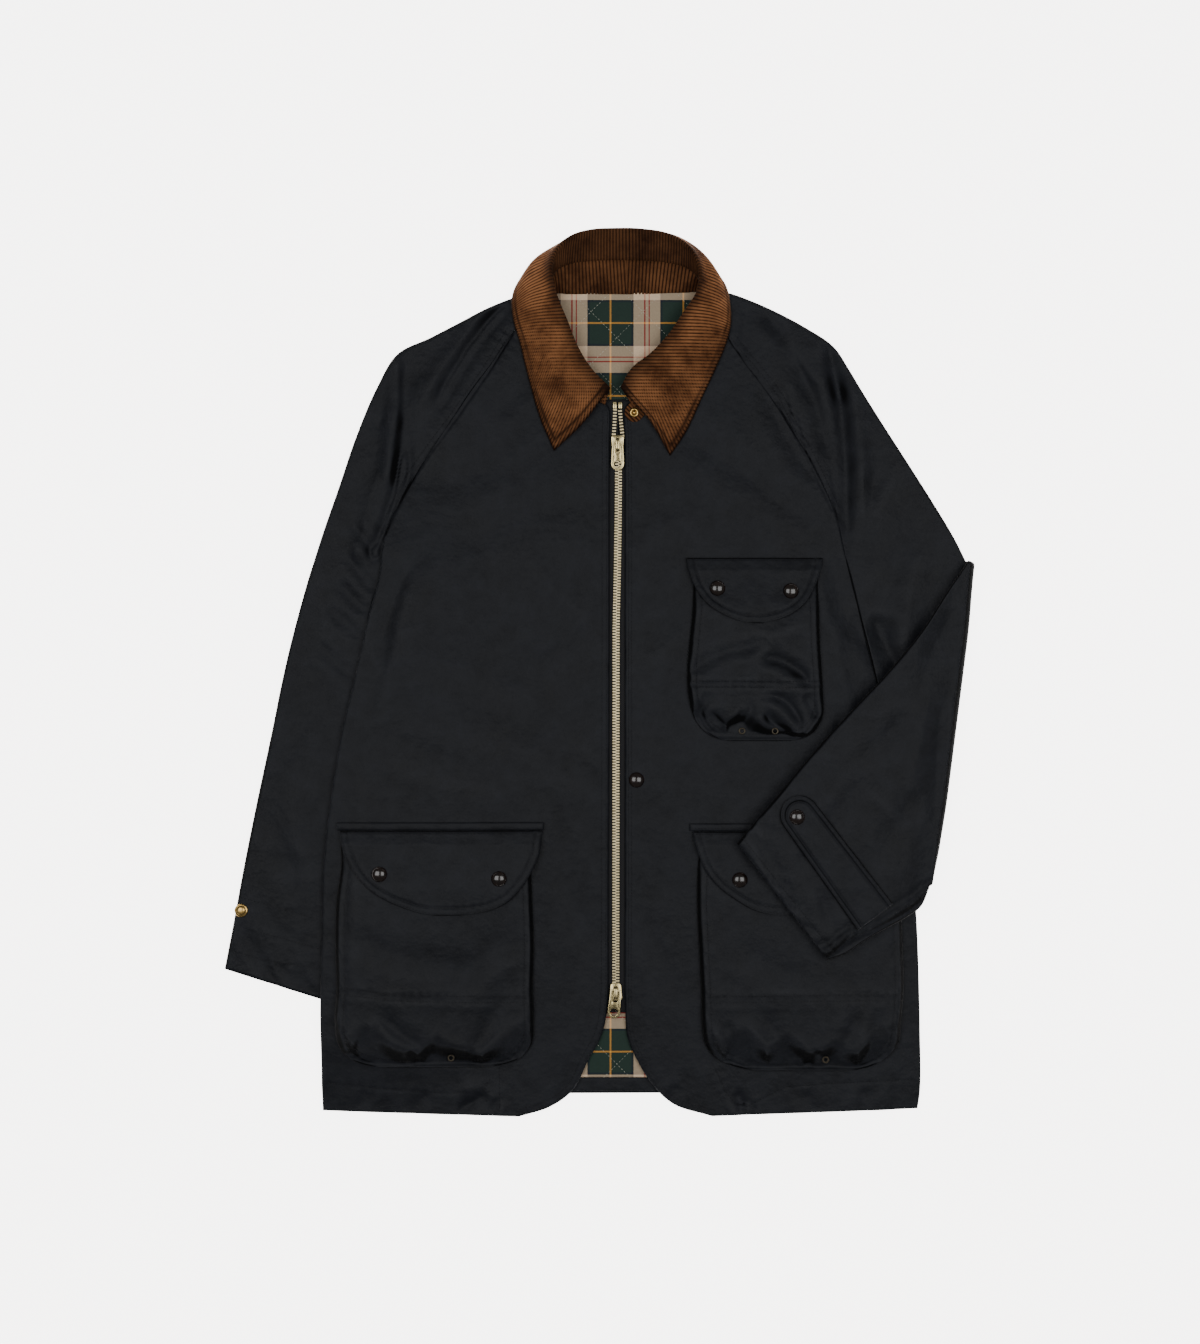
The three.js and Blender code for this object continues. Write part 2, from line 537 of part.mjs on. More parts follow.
// Pockets. Bag columns: y, left x, right x, from the mouth down. Rise: at the mouth and at the bottom.
const pockets = {
  lower_pocket_right: {
    rise: [7, 10.5],
    bag: [[272, -276, -84], [255, -275, -85.5], [215, -280, -84.5], [170, -281, -83], [130, -280, -84],
      [96, -282, -83], [75, -279, -84.5], [66, -274, -89.5], [58, -265, -98], [53, -250, -113],
      [50, -230, -135]],
    flap: [[286.6, -277.5, -74], [281.5, -276.5, -74.7], [277, -275.7, -75.3], [272.8, -274.8, -76],
      [264, -272, -77], [251, -265, -82.5],
      [238, -256, -89.5], [226.5, -244, -98], [217, -228, -107], [210, -211, -120],
      [205.5, -196, -136], [203, -180, -158]],
    welt: [[295, -280, -73], [291, -280, -73], [287.2, -280, -73]],
    caps: [[-236.5, 243.8], [-117.6, 239.1]],
    eyelets: [[-165.6, 60]],
  },
  lower_pocket_left: {
    rise: [7, 10.5],
    bag: [[271, 84, 278], [255, 81, 281], [215, 80, 284], [170, 82, 286], [127.5, 84, 287],
      [90, 85, 284], [76, 87, 282.5], [66, 92, 277], [58, 100, 268], [51, 117, 254], [46, 140, 230]],
    flap: [[285.4, 75.6, 281], [280.5, 76.2, 280.6], [276, 77, 280], [271.8, 78.3, 278.8],
      [264, 80.8, 276], [247.5, 88, 269], [231, 101, 257],
      [218, 118, 240], [207.5, 137, 221], [203.5, 154, 205], [202.8, 170, 190]],
    welt: [[293.5, 72.5, 281], [290, 72.5, 281], [286, 72.5, 281]],
    caps: [[122.4, 237.7], [234, 237]],
    eyelets: [[208.2, 58]],
  },
  chest_pocket: {
    rise: [6.8, 8],
    bag: [[546, 76, 201], [530, 76, 201], [507, 75.5, 202], [472, 72, 203], [444, 70, 205],
      [423, 71, 206], [404, 75, 206.5], [394, 80, 203], [385, 88, 197], [379, 98, 187], [376, 112, 172]],
    flap: [[559, 69, 205.5], [554, 69.6, 205.3], [550, 70.2, 204.8], [546.6, 71.2, 203.6],
      [531, 77, 198], [514, 89, 188],
      [503, 105, 174], [496.5, 121, 157], [494, 134, 143]],
    caps: [[100.2, 528.6], [173.5, 525.8]],
    eyelets: [[125, 386], [157.8, 386]],
  },
};
const bagShell = 2;
const bagEdge = 7;            // radius of the bag's gusset edge
const bagAir = 0.15;          // more than the seam gap, under the bag's rim
const bagLean = 0.9;          // how steeply the bag's bottom rises against its sides
const flapOverlap = 0.9;      // the flap's height above the bag's mouth
const bridgeReach = 11;
const bagRows = Array.from({ length: 12 }, (_, i) => i / 12).concat([0.955, 0.98, 1]);
const columnShares = [0, 0.009, 0.03, 0.12, 0.22, 0.33, 0.44, 0.55, 0.66, 0.77, 0.88, 0.97, 0.991, 1];

function bagRise({ rise, bag }, y) {
  const share = smooth((bag[0][0] - y) / (bag[0][0] - bag[bag.length - 1][0]));
  return THREE.MathUtils.lerp(rise[0], rise[1], share);
}

function bagTopAt(pocket, x, y) {
  return frontTopAt(x, y) + seamGap + bagRise(pocket, y);
}

// One face of a bag: its outline drawn in by `inset`, raised to its rise within the edge radius.
function bagFace(pocket, inset) {
  const rows = pocket.bag;
  const bottom = rows[rows.length - 1][0];
  const left = smoothRail(rows.map(([y, x]) => [x, y]));
  const right = smoothRail(rows.map(([y, , x]) => [x, y]));
  return bagRows.map((t) => {
    const from = left(t);
    const to = right(t);
    const y = Math.max(from.y, bottom + inset * smooth((t - 0.8) / 0.2));
    return columnShares.map((share) => {
      const x = THREE.MathUtils.lerp(from.x + inset, to.x - inset, share);
      const aside = Math.min(x - from.x, to.x - x) - inset;
      const below = (y - bottom - inset) * bagLean;
      const near = Math.max(0, Math.min(aside, below) / (bagEdge - inset));
      const round = Math.sqrt(1 - (1 - Math.min(near, 1)) ** 2);
      const rise = (bagRise(pocket, y) - inset) * round;
      return new THREE.Vector3(x, y, frontTopAt(x, y) + seamGap + bagAir + rise);
    });
  });
}

// The highest of the front's surface just beside a point, so that a stiff cloth bridges its hollows.
function bridged(x, y) {
  return Math.max(frontTopAt(x - bridgeReach, y), frontTopAt(x, y), frontTopAt(x + bridgeReach, y));
}

function flapUnderAt(pocket, x, y) {
  const top = pocket.flap[0][0];
  const mouth = pocket.bag[0][0];
  const over = smooth((top - y) / (top - mouth - 0.6));
  return bridged(x, y) + seamGap + restGap + (bagRise(pocket, Math.min(y, mouth)) + flapOverlap) * over;
}

const eyelet = { inner: 1.6, outer: 3.6, tall: 1.1, gap: 0.3 };
const restGap = 0.1;          // small parts and flaps rest this much above the seam gap
const roundSides = 10;

function highest(x, y, radius, heightAt) {
  let top = heightAt(x, y);
  for (let k = 0; k < 2 * roundSides; k++) {
    const angle = Math.PI * k / roundSides;
    top = Math.max(top, heightAt(x + radius * Math.cos(angle), y + radius * Math.sin(angle)));
  }
  return top;
}

function turned(profile) {
  const geometry = new THREE.LatheGeometry(profile.map(([r, z]) => new THREE.Vector2(r, z)), roundSides);
  geometry.rotateX(Math.PI / 2);
  return geometry;
}

function addCap(name, x, y, heightAt, radius = capRadius, height = capHeight, finish = enamel) {
  const profile = [[0, 0], [radius - 0.4, 0], [radius, 0.5], [radius, height * 0.55],
    [radius * 0.8, height * 0.9], [radius * 0.4, height], [0, height]];
  const base = highest(x, y, radius, heightAt) + seamGap + restGap;
  addPiece(name, turned(profile), finish).position.set(x, y, base);
}

function addEyelet(name, x, y, heightAt) {
  const { inner, outer, tall } = eyelet;
  const profile = [[inner, 0], [outer, 0], [outer * 0.95, tall * 0.6], [(inner + outer) / 2, tall],
    [inner, tall * 0.6], [inner, 0]];
  addPiece(name, turned(profile), brass).position.set(x, y, highest(x, y, outer, heightAt) + eyelet.gap);
}

function addPocket(name, pocket) {
  addPiece(name, bodyBetween(bagFace(pocket, 0), bagFace(pocket, bagShell)), shellCloth);
  const flapRows = pocket.flap.map(([y, left, right]) => [left, y, right, y]);
  const flapUnder = (x, y) => flapUnderAt(pocket, x, y);
  addLaid(name.replace('pocket', 'flap'), flapRows, 1, 10, flapUnder, evenly(shell), shellCloth);
  if (pocket.welt) {
    const weltRows = pocket.welt.map(([y, left, right]) => [left, y, right, y]);
    const weltUnder = (x, y) => bridged(x, y) + seamGap;
    addLaid(name.replace('pocket', 'welt'), weltRows, 1, 12, weltUnder, evenly(shell), shellCloth);
  }
  pocket.caps.forEach(([x, y], i) => addCap(name.replace('pocket', 'cap') + '_' + (i + 1), x, y,
    (px, py) => flapUnder(px, py) + shell));
  pocket.eyelets.forEach(([x, y], i) => addEyelet(name.replace('pocket', 'eyelet') + '_' + (i + 1), x, y,
    (px, py) => bagTopAt(pocket, px, py)));
}

// Strap on the folded forearm, from its round end with a snap cap to the seam near the lower edge.
const strap = { x: 181, y: 303, half: 19.5, length: 126, angle: -53.4, flare: 0.02 };
const strapCap = { x: 178.4, y: 301.2 };

// Rows of a tongue with a round end, at stations along it in units of its half width.
function tongueRows({ x, y, half, angle, flare }, stations) {
  const along = new THREE.Vector2(1, 0).rotateAround(new THREE.Vector2(), THREE.MathUtils.degToRad(angle));
  return stations.map((k) => {
    const reach = half * (Math.sqrt(1 - Math.min(k, 0) ** 2) + flare * Math.max(k, 0));
    const atX = x + along.x * k * half;
    const atY = y + along.y * k * half;
    return [atX + along.y * reach, atY - along.x * reach, atX - along.y * reach, atY + along.x * reach];
  });
}

function addStrap() {
  const rows = tongueRows(strap, [-0.99, -0.9, -0.7, -0.4, 0, 1, 2, 3, 4, 5, strap.length / strap.half]);
  const armTop = (x, y) => forearmHeight(x, y) + sleeveHalf + seamGap;
  addLaid('cuff_strap', rows, 1, 6, armTop, evenly(shell), shellCloth);
  addCap('strap_cap', strapCap.x, strapCap.y, (x, y) => armTop(x, y) + shell);
}

// Throat tab: a tongue under the left leaf that carries a brass snap ring.
const throat = { x: 17.1, y: 704.5, half: 9.4, length: 26, angle: 47, flare: 0, under: 9.7, thick: 1.1 };
const snapRing = { radius: 4.4, height: 1.3 };
const frontCap = { x: 19.5, y: 337 };
const cuffStud = { x: -376, y: 206.5, radius: 6.4, height: 2.6 };

function addThroatTab() {
  const rows = tongueRows(throat, [-0.98, -0.8, -0.4, 0, 1.2, throat.length / throat.half]);
  addLaid('throat_tab', rows, 1, 5, () => throat.under, evenly(throat.thick), corduroy);
  const tabTop = () => throat.under + throat.thick;
  addCap('throat_snap', throat.x, throat.y, tabTop, snapRing.radius, snapRing.height, brass);
}

addBack();
addFront('right_front', rightFrontRows);
addFront('left_front', leftFrontRows);
addSleeve('right_sleeve', rightSleeveRows.map((row) => flatSection(row, row[4])));
addSleeve('left_sleeve', foldedSleeveSections());
addCollar();
addLaid('lining_neck', neckLiningRows, 2, 12, () => liningZ, quiltThickness, liningCloth);
addLaid('lining_hem', hemLiningRows, 3, 7, () => liningZ, quiltThickness, liningCloth);
addLaid('hem_facing', hemFacingRows, 1, 8, () => liningZ, evenly(facingThick), shellCloth);
addZip();
for (const [name, place] of Object.entries(pulls)) {
  addSlider(name + '_slider', place);
  addPull(name + '_pull', place);
}
for (const [name, pocket] of Object.entries(pockets)) addPocket(name, pocket);
addStrap();
addThroatTab();
addCap('front_cap', frontCap.x, frontCap.y, frontTopAt);
addCap('cuff_stud', cuffStud.x, cuffStud.y, () => 2 * sleeveHalf, cuffStud.radius, cuffStud.height, brass);

// The origin is the middle of the outline, on the surface that the jacket lies on.
const extent = new THREE.Box3().setFromObject(garment);
const middle = extent.getCenter(new THREE.Vector3());
garment.position.set(-middle.x, -middle.y, -extent.min.z);
const jacket = new THREE.Group();
jacket.add(garment);

export default jacket;
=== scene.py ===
import math
import bpy
import bmesh
import numpy as np
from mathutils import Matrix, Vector
from mathutils.bvhtree import BVHTree


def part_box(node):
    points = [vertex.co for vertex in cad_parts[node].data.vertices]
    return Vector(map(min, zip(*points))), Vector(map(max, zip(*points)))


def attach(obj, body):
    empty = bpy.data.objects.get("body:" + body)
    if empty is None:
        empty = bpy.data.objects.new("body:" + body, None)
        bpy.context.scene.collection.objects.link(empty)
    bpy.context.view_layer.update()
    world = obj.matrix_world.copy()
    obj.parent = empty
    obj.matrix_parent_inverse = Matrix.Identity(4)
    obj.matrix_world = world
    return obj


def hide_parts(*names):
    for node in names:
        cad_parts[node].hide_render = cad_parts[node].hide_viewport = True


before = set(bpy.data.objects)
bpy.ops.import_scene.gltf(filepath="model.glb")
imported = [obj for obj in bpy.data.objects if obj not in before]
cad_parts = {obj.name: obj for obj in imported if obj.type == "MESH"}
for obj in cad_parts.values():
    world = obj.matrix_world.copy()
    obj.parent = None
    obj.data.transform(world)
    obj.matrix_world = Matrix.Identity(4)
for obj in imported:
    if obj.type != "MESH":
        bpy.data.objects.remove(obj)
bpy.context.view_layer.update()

mm = 0.001
print("frame loaded")

# Garment coordinates, in millimetres: x from the zip line, y up from the hem, z from the surface.
# The front snap cap ties them to the frame.
capLow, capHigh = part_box("front_cap")
frontCap = (19.5, 337.0)
shift = ((capLow[0] + capHigh[0]) / 2 / mm - frontCap[0], (capLow[1] + capHigh[1]) / 2 / mm - frontCap[1])

cloth = {"seamGap": 0.4, "shell": 2.4, "frontThick": 2.8, "frontUnder": 5.8, "sideDrop": 2.8, "sleeveHalf": 4.3,
         "foldRadius": 8.6, "foldPinch": 0.45, "forearmRise": 7.6, "collarThick": 2.2, "bagShell": 2.0,
         "bagEdge": 7.0}
tuckHeight = 2 * cloth["sleeveHalf"] + 0.6


def smooth(t):
    k = np.clip(t, 0, 1)
    return k * k * (3 - 2 * k)


def mix(a, b, t):
    return a + (b - a) * t


# A hump of height 1 across a line, from the distance to it and its half width.
def hump(distance, wide):
    return np.exp(-(distance / wide) ** 2)


# Centripetal spline through points, sampled at the shares `ts` of its stretches.
def railPoints(points, ts):
    p = np.array(points, float)
    n = len(p) - 1
    out = []
    for t in np.atleast_1d(ts):
        i = min(int(t * n), n - 1)
        w = t * n - i
        p1, p2 = p[i], p[i + 1]
        p0 = p[i - 1] if i > 0 else 2 * p1 - p2
        p3 = p[i + 2] if i + 2 <= n else 2 * p2 - p1
        d0, d1, d2 = (max(np.sum((b - a) ** 2), 1e-9) ** 0.25 for a, b in ((p0, p1), (p1, p2), (p2, p3)))
        m1 = ((p1 - p0) / d0 - (p2 - p0) / (d0 + d1) + (p2 - p1) / d1) * d1
        m2 = ((p2 - p1) / d1 - (p3 - p1) / (d1 + d2) + (p3 - p2) / d2) * d1
        out.append(p1 + m1 * w + (-3 * p1 + 3 * p2 - 2 * m1 - m2) * w * w
                   + (2 * p1 - 2 * p2 + m1 + m2) * w ** 3)
    return np.array(out)


# A grid of x, y between two rails; columns crowd towards both edges.
def railGrid(railA, railB, rows, columns, crowd=0.0):
    ts = np.linspace(0, 1, rows + 1)
    a, b = railPoints(railA, ts), railPoints(railB, ts)
    c = np.linspace(0, 1, columns + 1)
    c = c + crowd * (smooth(c) - c)
    return a[:, None, :] + (b - a)[:, None, :] * c[None, :, None]


def unit(v):
    return v / np.maximum(np.linalg.norm(v, axis=-1, keepdims=True), 1e-9)


def gridNormals(g):
    return unit(np.cross(np.gradient(g, axis=1), np.gradient(g, axis=0)))


def toWorld(points):
    p = np.array(points, float)
    p[..., 0] += shift[0]
    p[..., 1] += shift[1]
    return p * mm


def newObject(name, data, material=None):
    obj = bpy.data.objects.new(name, data)
    bpy.context.collection.objects.link(obj)
    if material:
        data.materials.append(material)
    return obj


def setSmooth(mesh, on=True):
    mesh.polygons.foreach_set("use_smooth", [on] * len(mesh.polygons))


# Turns all faces out. A lathed shape is welded first.
def faceOut(mesh, weld=False):
    bm = bmesh.new()
    bm.from_mesh(mesh)
    if weld:
        bmesh.ops.remove_doubles(bm, verts=bm.verts, dist=1e-6)
        bmesh.ops.recalc_face_normals(bm, faces=bm.faces)
    if bm.calc_volume(signed=True) < 0:
        bmesh.ops.reverse_faces(bm, faces=bm.faces)
    bm.to_mesh(mesh)
    bm.free()
    setSmooth(mesh)


# Faces that turn away from straight up take painted shade in their colour, and more roughness: from this level, over
# this span.
paintedSlopeShade = {"level": 0.99, "span": 0.22}


# A closed body between two grids of points, joined round their rim. Values given for the grid go to both.
def bodyBetween(name, upper, under, material, values):
    rows, columns = upper.shape[:2]
    index = np.arange(rows * columns).reshape(rows, columns)
    quads = np.stack([index[:-1, :-1], index[:-1, 1:], index[1:, 1:], index[1:, :-1]], -1).reshape(-1, 4)
    back = quads[:, ::-1] + rows * columns
    rim = np.concatenate([index[0, :-1], index[:-1, -1], index[-1, :0:-1], index[:0:-1, 0]])
    ahead = np.roll(rim, -1)
    sides = np.stack([ahead, rim, rim + rows * columns, ahead + rows * columns], -1)
    mesh = bpy.data.meshes.new(name)
    mesh.from_pydata(toWorld(np.concatenate([upper.reshape(-1, 3), under.reshape(-1, 3)])).tolist(), [],
                     np.concatenate([quads, back, sides]).tolist())
    # Steep faces are marked here for painted shade.
    steepShadeMask = smooth((paintedSlopeShade["level"] - np.abs(gridNormals(upper)[..., 2])) / paintedSlopeShade["span"])
    for key, value in {"steepShadeMask": steepShadeMask, **values}.items():
        layer = mesh.attributes.new(key, "FLOAT", "POINT")
        layer.data.foreach_set("value", np.tile(np.ravel(value), 2).astype(np.float32))
    mesh.validate()
    faceOut(mesh)
    return newObject(name, mesh, material)


def withHeight(grid, z):
    return np.concatenate([grid[..., :2], np.asarray(z)[..., None]], -1)


def gridArea(g):
    du, dv = np.diff(g, axis=0)[:, :-1], np.diff(g, axis=1)[:-1]
    return float(np.linalg.norm(np.cross(du, dv), axis=-1).sum()) * mm * mm


# Rounds a sheet's rim: the two faces close on each other within three cells of the edge.
def rimRound(shape, keep):
    r, c = np.arange(shape[0])[:, None], np.arange(shape[1])[None, :]
    far = np.minimum(np.minimum(r, shape[0] - 1 - r), np.minimum(c, shape[1] - 1 - c))
    return keep + (1 - keep) * np.sqrt(1 - (1 - np.clip(far / 3, 0, 1)) ** 2)


# Soft folds. Each row: x and y of both ends, height (a trough is negative), half width, bow sideways.
def foldField(x, y, rows):
    z = np.zeros_like(x)
    for ax, ay, bx, by, height, wide, bow in rows:
        dx, dy = bx - ax, by - ay
        length = math.hypot(dx, dy)
        t = np.clip(((x - ax) * dx + (y - ay) * dy) / length ** 2, -0.25, 1.25)
        side = ((x - ax) * dy - (y - ay) * dx) / length - bow * 4 * t * (1 - t)
        ends = smooth((t + 0.25) / 0.4) * smooth((1.25 - t) / 0.4)
        core = np.exp(-(np.abs(side) / wide) ** 1.45)
        shoulder = hump(side - 1.8 * wide, wide) + 0.4 * hump(side + 1.8 * wide, wide)
        z += height * ends * (core - 0.38 * shoulder)
    return z


fullTurn = 6.28


# Slow uneven waves of several directions, the same each run.
def slowWaves(x, y, seed, scale, count=7):
    rng = np.random.default_rng(seed)
    z = np.zeros_like(x)
    for _ in range(count):
        angle, phase, size = rng.uniform(0, math.pi), rng.uniform(0, fullTurn), scale * rng.uniform(0.6, 1.8)
        z += np.sin((x * math.cos(angle) + y * math.sin(angle)) / size * fullTurn + phase)
    return z / count


# Unevenness of a cloth: long waves and short ones, each as height and length.
def uneven(x, y, seed, waves):
    (high, long), (low, short) = waves
    return high * slowWaves(x, y, seed, long) + low * slowWaves(x, y, seed + 1, short, 9)


# Gathered ripples beside a seam, from the distance to it and the way along it.
def pucker(distance, along, seed, pitch, reach, height):
    rng = np.random.default_rng(seed)
    wave = np.sin(along / pitch * fullTurn + 1.7 * np.sin(along / 37 + rng.uniform(0, 6)))
    wave = wave * (0.6 + 0.4 * np.sin(along / 23 + rng.uniform(0, 6)))
    return height * wave * hump(distance, reach)


print("helpers ready")


# Materials
def newMaterial(name, sockets):
    material = bpy.data.materials.new(name)
    material.use_nodes = True
    shader = material.node_tree.nodes["Principled BSDF"]
    for key, value in sockets.items():
        shader.inputs[key].default_value = value
    return material, material.node_tree, shader


def addNode(tree, kind, values=None, **settings):
    node = tree.nodes.new(kind)
    for key, value in settings.items():
        setattr(node, key, value)
    for key, value in (values or {}).items():
        node.inputs[key].default_value = value
    return node


def objectPoint(tree):
    return addNode(tree, "ShaderNodeTexCoord").outputs["Object"]


# A value that a piece carries at each of its points.
def carried(tree, name):
    return addNode(tree, "ShaderNodeAttribute", attribute_name=name).outputs["Fac"]


# Links an output to a socket, or sets the socket's own value.
def feed(tree, socket, value):
    if hasattr(value, "node"):
        tree.links.new(value, socket)
    else:
        socket.default_value = (*value, 1) if isinstance(value, tuple) else value


def noise(tree, point, scale, detail=3.0, rough=0.5):
    node = addNode(tree, "ShaderNodeTexNoise", {"Scale": scale, "Detail": detail, "Roughness": rough})
    tree.links.new(point, node.inputs["Vector"])
    return node.outputs["Fac"]


def weave(tree, scale, distortion):
    node = addNode(tree, "ShaderNodeTexWave", {"Scale": scale, "Distortion": distortion},
                   bands_direction="DIAGONAL")
    tree.links.new(objectPoint(tree), node.inputs["Vector"])
    return node.outputs["Fac"]


# Stripes with hard edges, each from its place up to the next one's.
def stripesOf(tree, factor, stripes):
    node = addNode(tree, "ShaderNodeValToRGB")
    elements = node.color_ramp.elements
    node.color_ramp.interpolation = "CONSTANT"
    while len(elements) < len(stripes):
        elements.new(0.5)
    for element, (place, color) in zip(elements, stripes):
        element.position = place
        element.color = (*color, 1)
    tree.links.new(factor, node.inputs["Fac"])
    return node.outputs["Color"]


def toRange(tree, value, low, high, fromLow=0.3, fromHigh=0.7):
    node = addNode(tree, "ShaderNodeMapRange",
                   {"From Min": fromLow, "From Max": fromHigh, "To Min": low, "To Max": high})
    tree.links.new(value, node.inputs["Value"])
    return node.outputs["Result"]


def math2(tree, operation, a, b=0.0):
    node = addNode(tree, "ShaderNodeMath", operation=operation)
    feed(tree, node.inputs[0], a)
    feed(tree, node.inputs[1], b)
    return node.outputs[0]


def weightedSum(tree, *parts):
    total, *rest = [math2(tree, "MULTIPLY", value, weight) for value, weight in parts]
    for part in rest:
        total = math2(tree, "ADD", total, part)
    return total


def mixColor(tree, factor, a, b):
    node = addNode(tree, "ShaderNodeMix", data_type="RGBA")
    for index, value in ((0, factor), (6, a), (7, b)):
        feed(tree, node.inputs[index], value)
    return node.outputs[2]


def mottled(tree, point, scale, detail, dark, light):
    return mixColor(tree, toRange(tree, noise(tree, point, scale, detail), 0, 1), dark, light)


# Connects colour and roughness where they vary, and a bump: its height, strength and distance.
def finishShader(tree, shader, color, height, strength, distance, roughness=None):
    tree.links.new(color, shader.inputs["Base Color"])
    if roughness:
        tree.links.new(roughness, shader.inputs["Roughness"])
    bump = addNode(tree, "ShaderNodeBump", {"Strength": strength, "Distance": distance})
    tree.links.new(height, bump.inputs["Height"])
    tree.links.new(bump.outputs["Normal"], shader.inputs["Normal"])


# Colours of the waxed cotton. The colour for steep faces is painted shade, laid over them up to the share after it.
waxLook = {"dark": (0.0048, 0.0054, 0.0072), "light": (0.0104, 0.0115, 0.0148), "rubbed": (0.022, 0.023, 0.026),
           "paintedSlopeShade": (0.0004, 0.0004, 0.0005), "paintedSlopeShadeShare": 0.88, "roughness": (0.46, 0.54),
           "slopeRoughness": 0.55, "clouds": 14, "patches": 55, "fine": 160, "grain": 1500}


def makeWaxedCotton():
    look = waxLook
    material, tree, shader = newMaterial(
        "waxedCotton", {"Sheen Weight": 0.02, "Sheen Roughness": 0.4, "Specular IOR Level": 0.12})
    point, rub, steepShadeMask = objectPoint(tree), carried(tree, "rub"), carried(tree, "steepShadeMask")
    cloudy = noise(tree, point, look["clouds"], 4, 0.6)
    patchy = noise(tree, point, look["patches"], 4, 0.65)
    fine = noise(tree, point, look["fine"], 3, 0.6)
    grain = noise(tree, point, look["grain"], 2, 0.5)
    tone = toRange(tree, weightedSum(tree, (cloudy, 0.5), (patchy, 0.5)), 0, 1, 0.36, 0.64)
    worn = mixColor(tree, math2(tree, "MULTIPLY", rub, toRange(tree, fine, 0.4, 1.0)),
                    mixColor(tree, tone, look["dark"], look["light"]), look["rubbed"])
    rough = weightedSum(tree, (toRange(tree, cloudy, *look["roughness"]), 1),
                        (toRange(tree, grain, -0.05, 0.05), 1), (steepShadeMask, look["slopeRoughness"]))
    # Steep faces are darkened towards the painted shade.
    finishShader(tree, shader, mixColor(tree, toRange(tree, steepShadeMask, 0, look["paintedSlopeShadeShare"]), worn, look["paintedSlopeShade"]),
                 weightedSum(tree, (fine, 0.6), (grain, 0.2), (patchy, 2.2)), 0.8, 0.0008, rough)
    return material


# The dark corduroy colour is painted shade, for the valleys between wales and for the collar's shaded parts.
cordLook = {"paintedCordShade": (0.0065, 0.0020, 0.0006), "crown": (0.275, 0.112, 0.043), "crownDark": (0.066, 0.022, 0.007),
            "patches": 38, "pile": 1400}


def makeCorduroy():
    look = cordLook
    material, tree, shader = newMaterial(
        "corduroy", {"Roughness": 0.85, "Sheen Weight": 0.12, "Sheen Roughness": 0.35,
                     "Sheen Tint": (0.75, 0.5, 0.33, 1), "Specular IOR Level": 0.1})
    point = objectPoint(tree)
    crown = mixColor(tree, toRange(tree, noise(tree, point, look["patches"], 4, 0.6), 0, 1, 0.30, 0.62), look["crownDark"],
                     look["crown"])
    # Valleys between wales darken towards the painted shade, and so do the parts that carry more shade.
    pile = mixColor(tree, toRange(tree, carried(tree, "wale"), 0, 1, 0.3, 0.95), look["paintedCordShade"], crown)
    finishShader(tree, shader, mixColor(tree, carried(tree, "depth"), pile, look["paintedCordShade"]),
                 noise(tree, point, look["pile"], 2, 0.6), 0.5, 0.0004)
    return material


# A plain check for the lining: one row of coloured stripes, used for the warp and for the weft.
liningLook = {"pitch": 73.0, "warpStart": 0.16, "weftStart": 0.52, "quiltPitch": 52.0,
              "green": (0.013, 0.030, 0.022), "beige": (0.70, 0.52, 0.35), "ochre": (0.80, 0.36, 0.05),
              "red": (0.46, 0.03, 0.025), "navy": (0.006, 0.008, 0.02)}
liningStripes = [(0.0, "navy"), (0.03, "green"), (0.302, "ochre"), (0.328, "green"), (0.60, "navy"),
                 (0.63, "beige"), (0.775, "red"), (0.793, "beige"), (0.837, "red"), (0.855, "beige")]


def makeLining():
    look = liningLook
    material, tree, shader = newMaterial(
        "checkedLining", {"Roughness": 0.8, "Sheen Weight": 0.15, "Specular IOR Level": 0.25})
    point = objectPoint(tree)
    separate = addNode(tree, "ShaderNodeSeparateXYZ")
    tree.links.new(point, separate.inputs["Vector"])
    threads = []
    for axis, start in (("X", look["warpStart"]), ("Y", look["weftStart"])):
        place = math2(tree, "ADD", math2(tree, "DIVIDE", separate.outputs[axis], look["pitch"] * mm), start)
        threads.append(stripesOf(tree, math2(tree, "FRACT", place), [(at, look[key]) for at, key in liningStripes]))
    share = toRange(tree, weave(tree, 420.0, 0.5), 0.40, 0.60, 0.0, 1.0)
    color = mixColor(tree, mixColor(tree, 0.75, share, (0.5, 0.5, 0.5)), *threads)
    speck = mixColor(tree, toRange(tree, noise(tree, point, 700, 2), 0.85, 1.0), (0, 0, 0), color)
    finishShader(tree, shader, speck, noise(tree, point, 900, 2), 0.3, 0.0003)
    return material


def makeBrass(name, color, roughness):
    material, tree, shader = newMaterial(name, {"Metallic": 1.0})
    point = objectPoint(tree)
    finishShader(tree, shader, mottled(tree, point, 60, 3, tuple(0.82 * c for c in color), color),
                 noise(tree, point, 900, 2), 0.12, 0.0002,
                 toRange(tree, noise(tree, point, 300, 3), roughness - 0.06, roughness + 0.08))
    return material


enamelLook = {"dark": (0.004, 0.0024, 0.0018), "light": (0.012, 0.0062, 0.0042), "roughness": (0.14, 0.24)}


def makeEnamel():
    material, tree, shader = newMaterial(
        "darkEnamel", {"Coat Weight": 0.45, "Coat Roughness": 0.05, "Specular IOR Level": 0.3})
    point = objectPoint(tree)
    finishShader(tree, shader, mottled(tree, point, 220, 3, enamelLook["dark"], enamelLook["light"]),
                 noise(tree, point, 1200, 2), 0.05, 0.0002,
                 toRange(tree, noise(tree, point, 500, 3), *enamelLook["roughness"]))
    return material


tapeLook = {"dark": (0.004, 0.004, 0.005), "light": (0.012, 0.012, 0.014)}


def makeTape():
    material, tree, shader = newMaterial("zipTape", {"Roughness": 0.8, "Specular IOR Level": 0.3})
    twill = weave(tree, 300.0, 1.0)
    color = mixColor(tree, toRange(tree, twill, 0.0, 1.0), tapeLook["dark"], tapeLook["light"])
    finishShader(tree, shader, color, twill, 0.4, 0.0003)
    return material


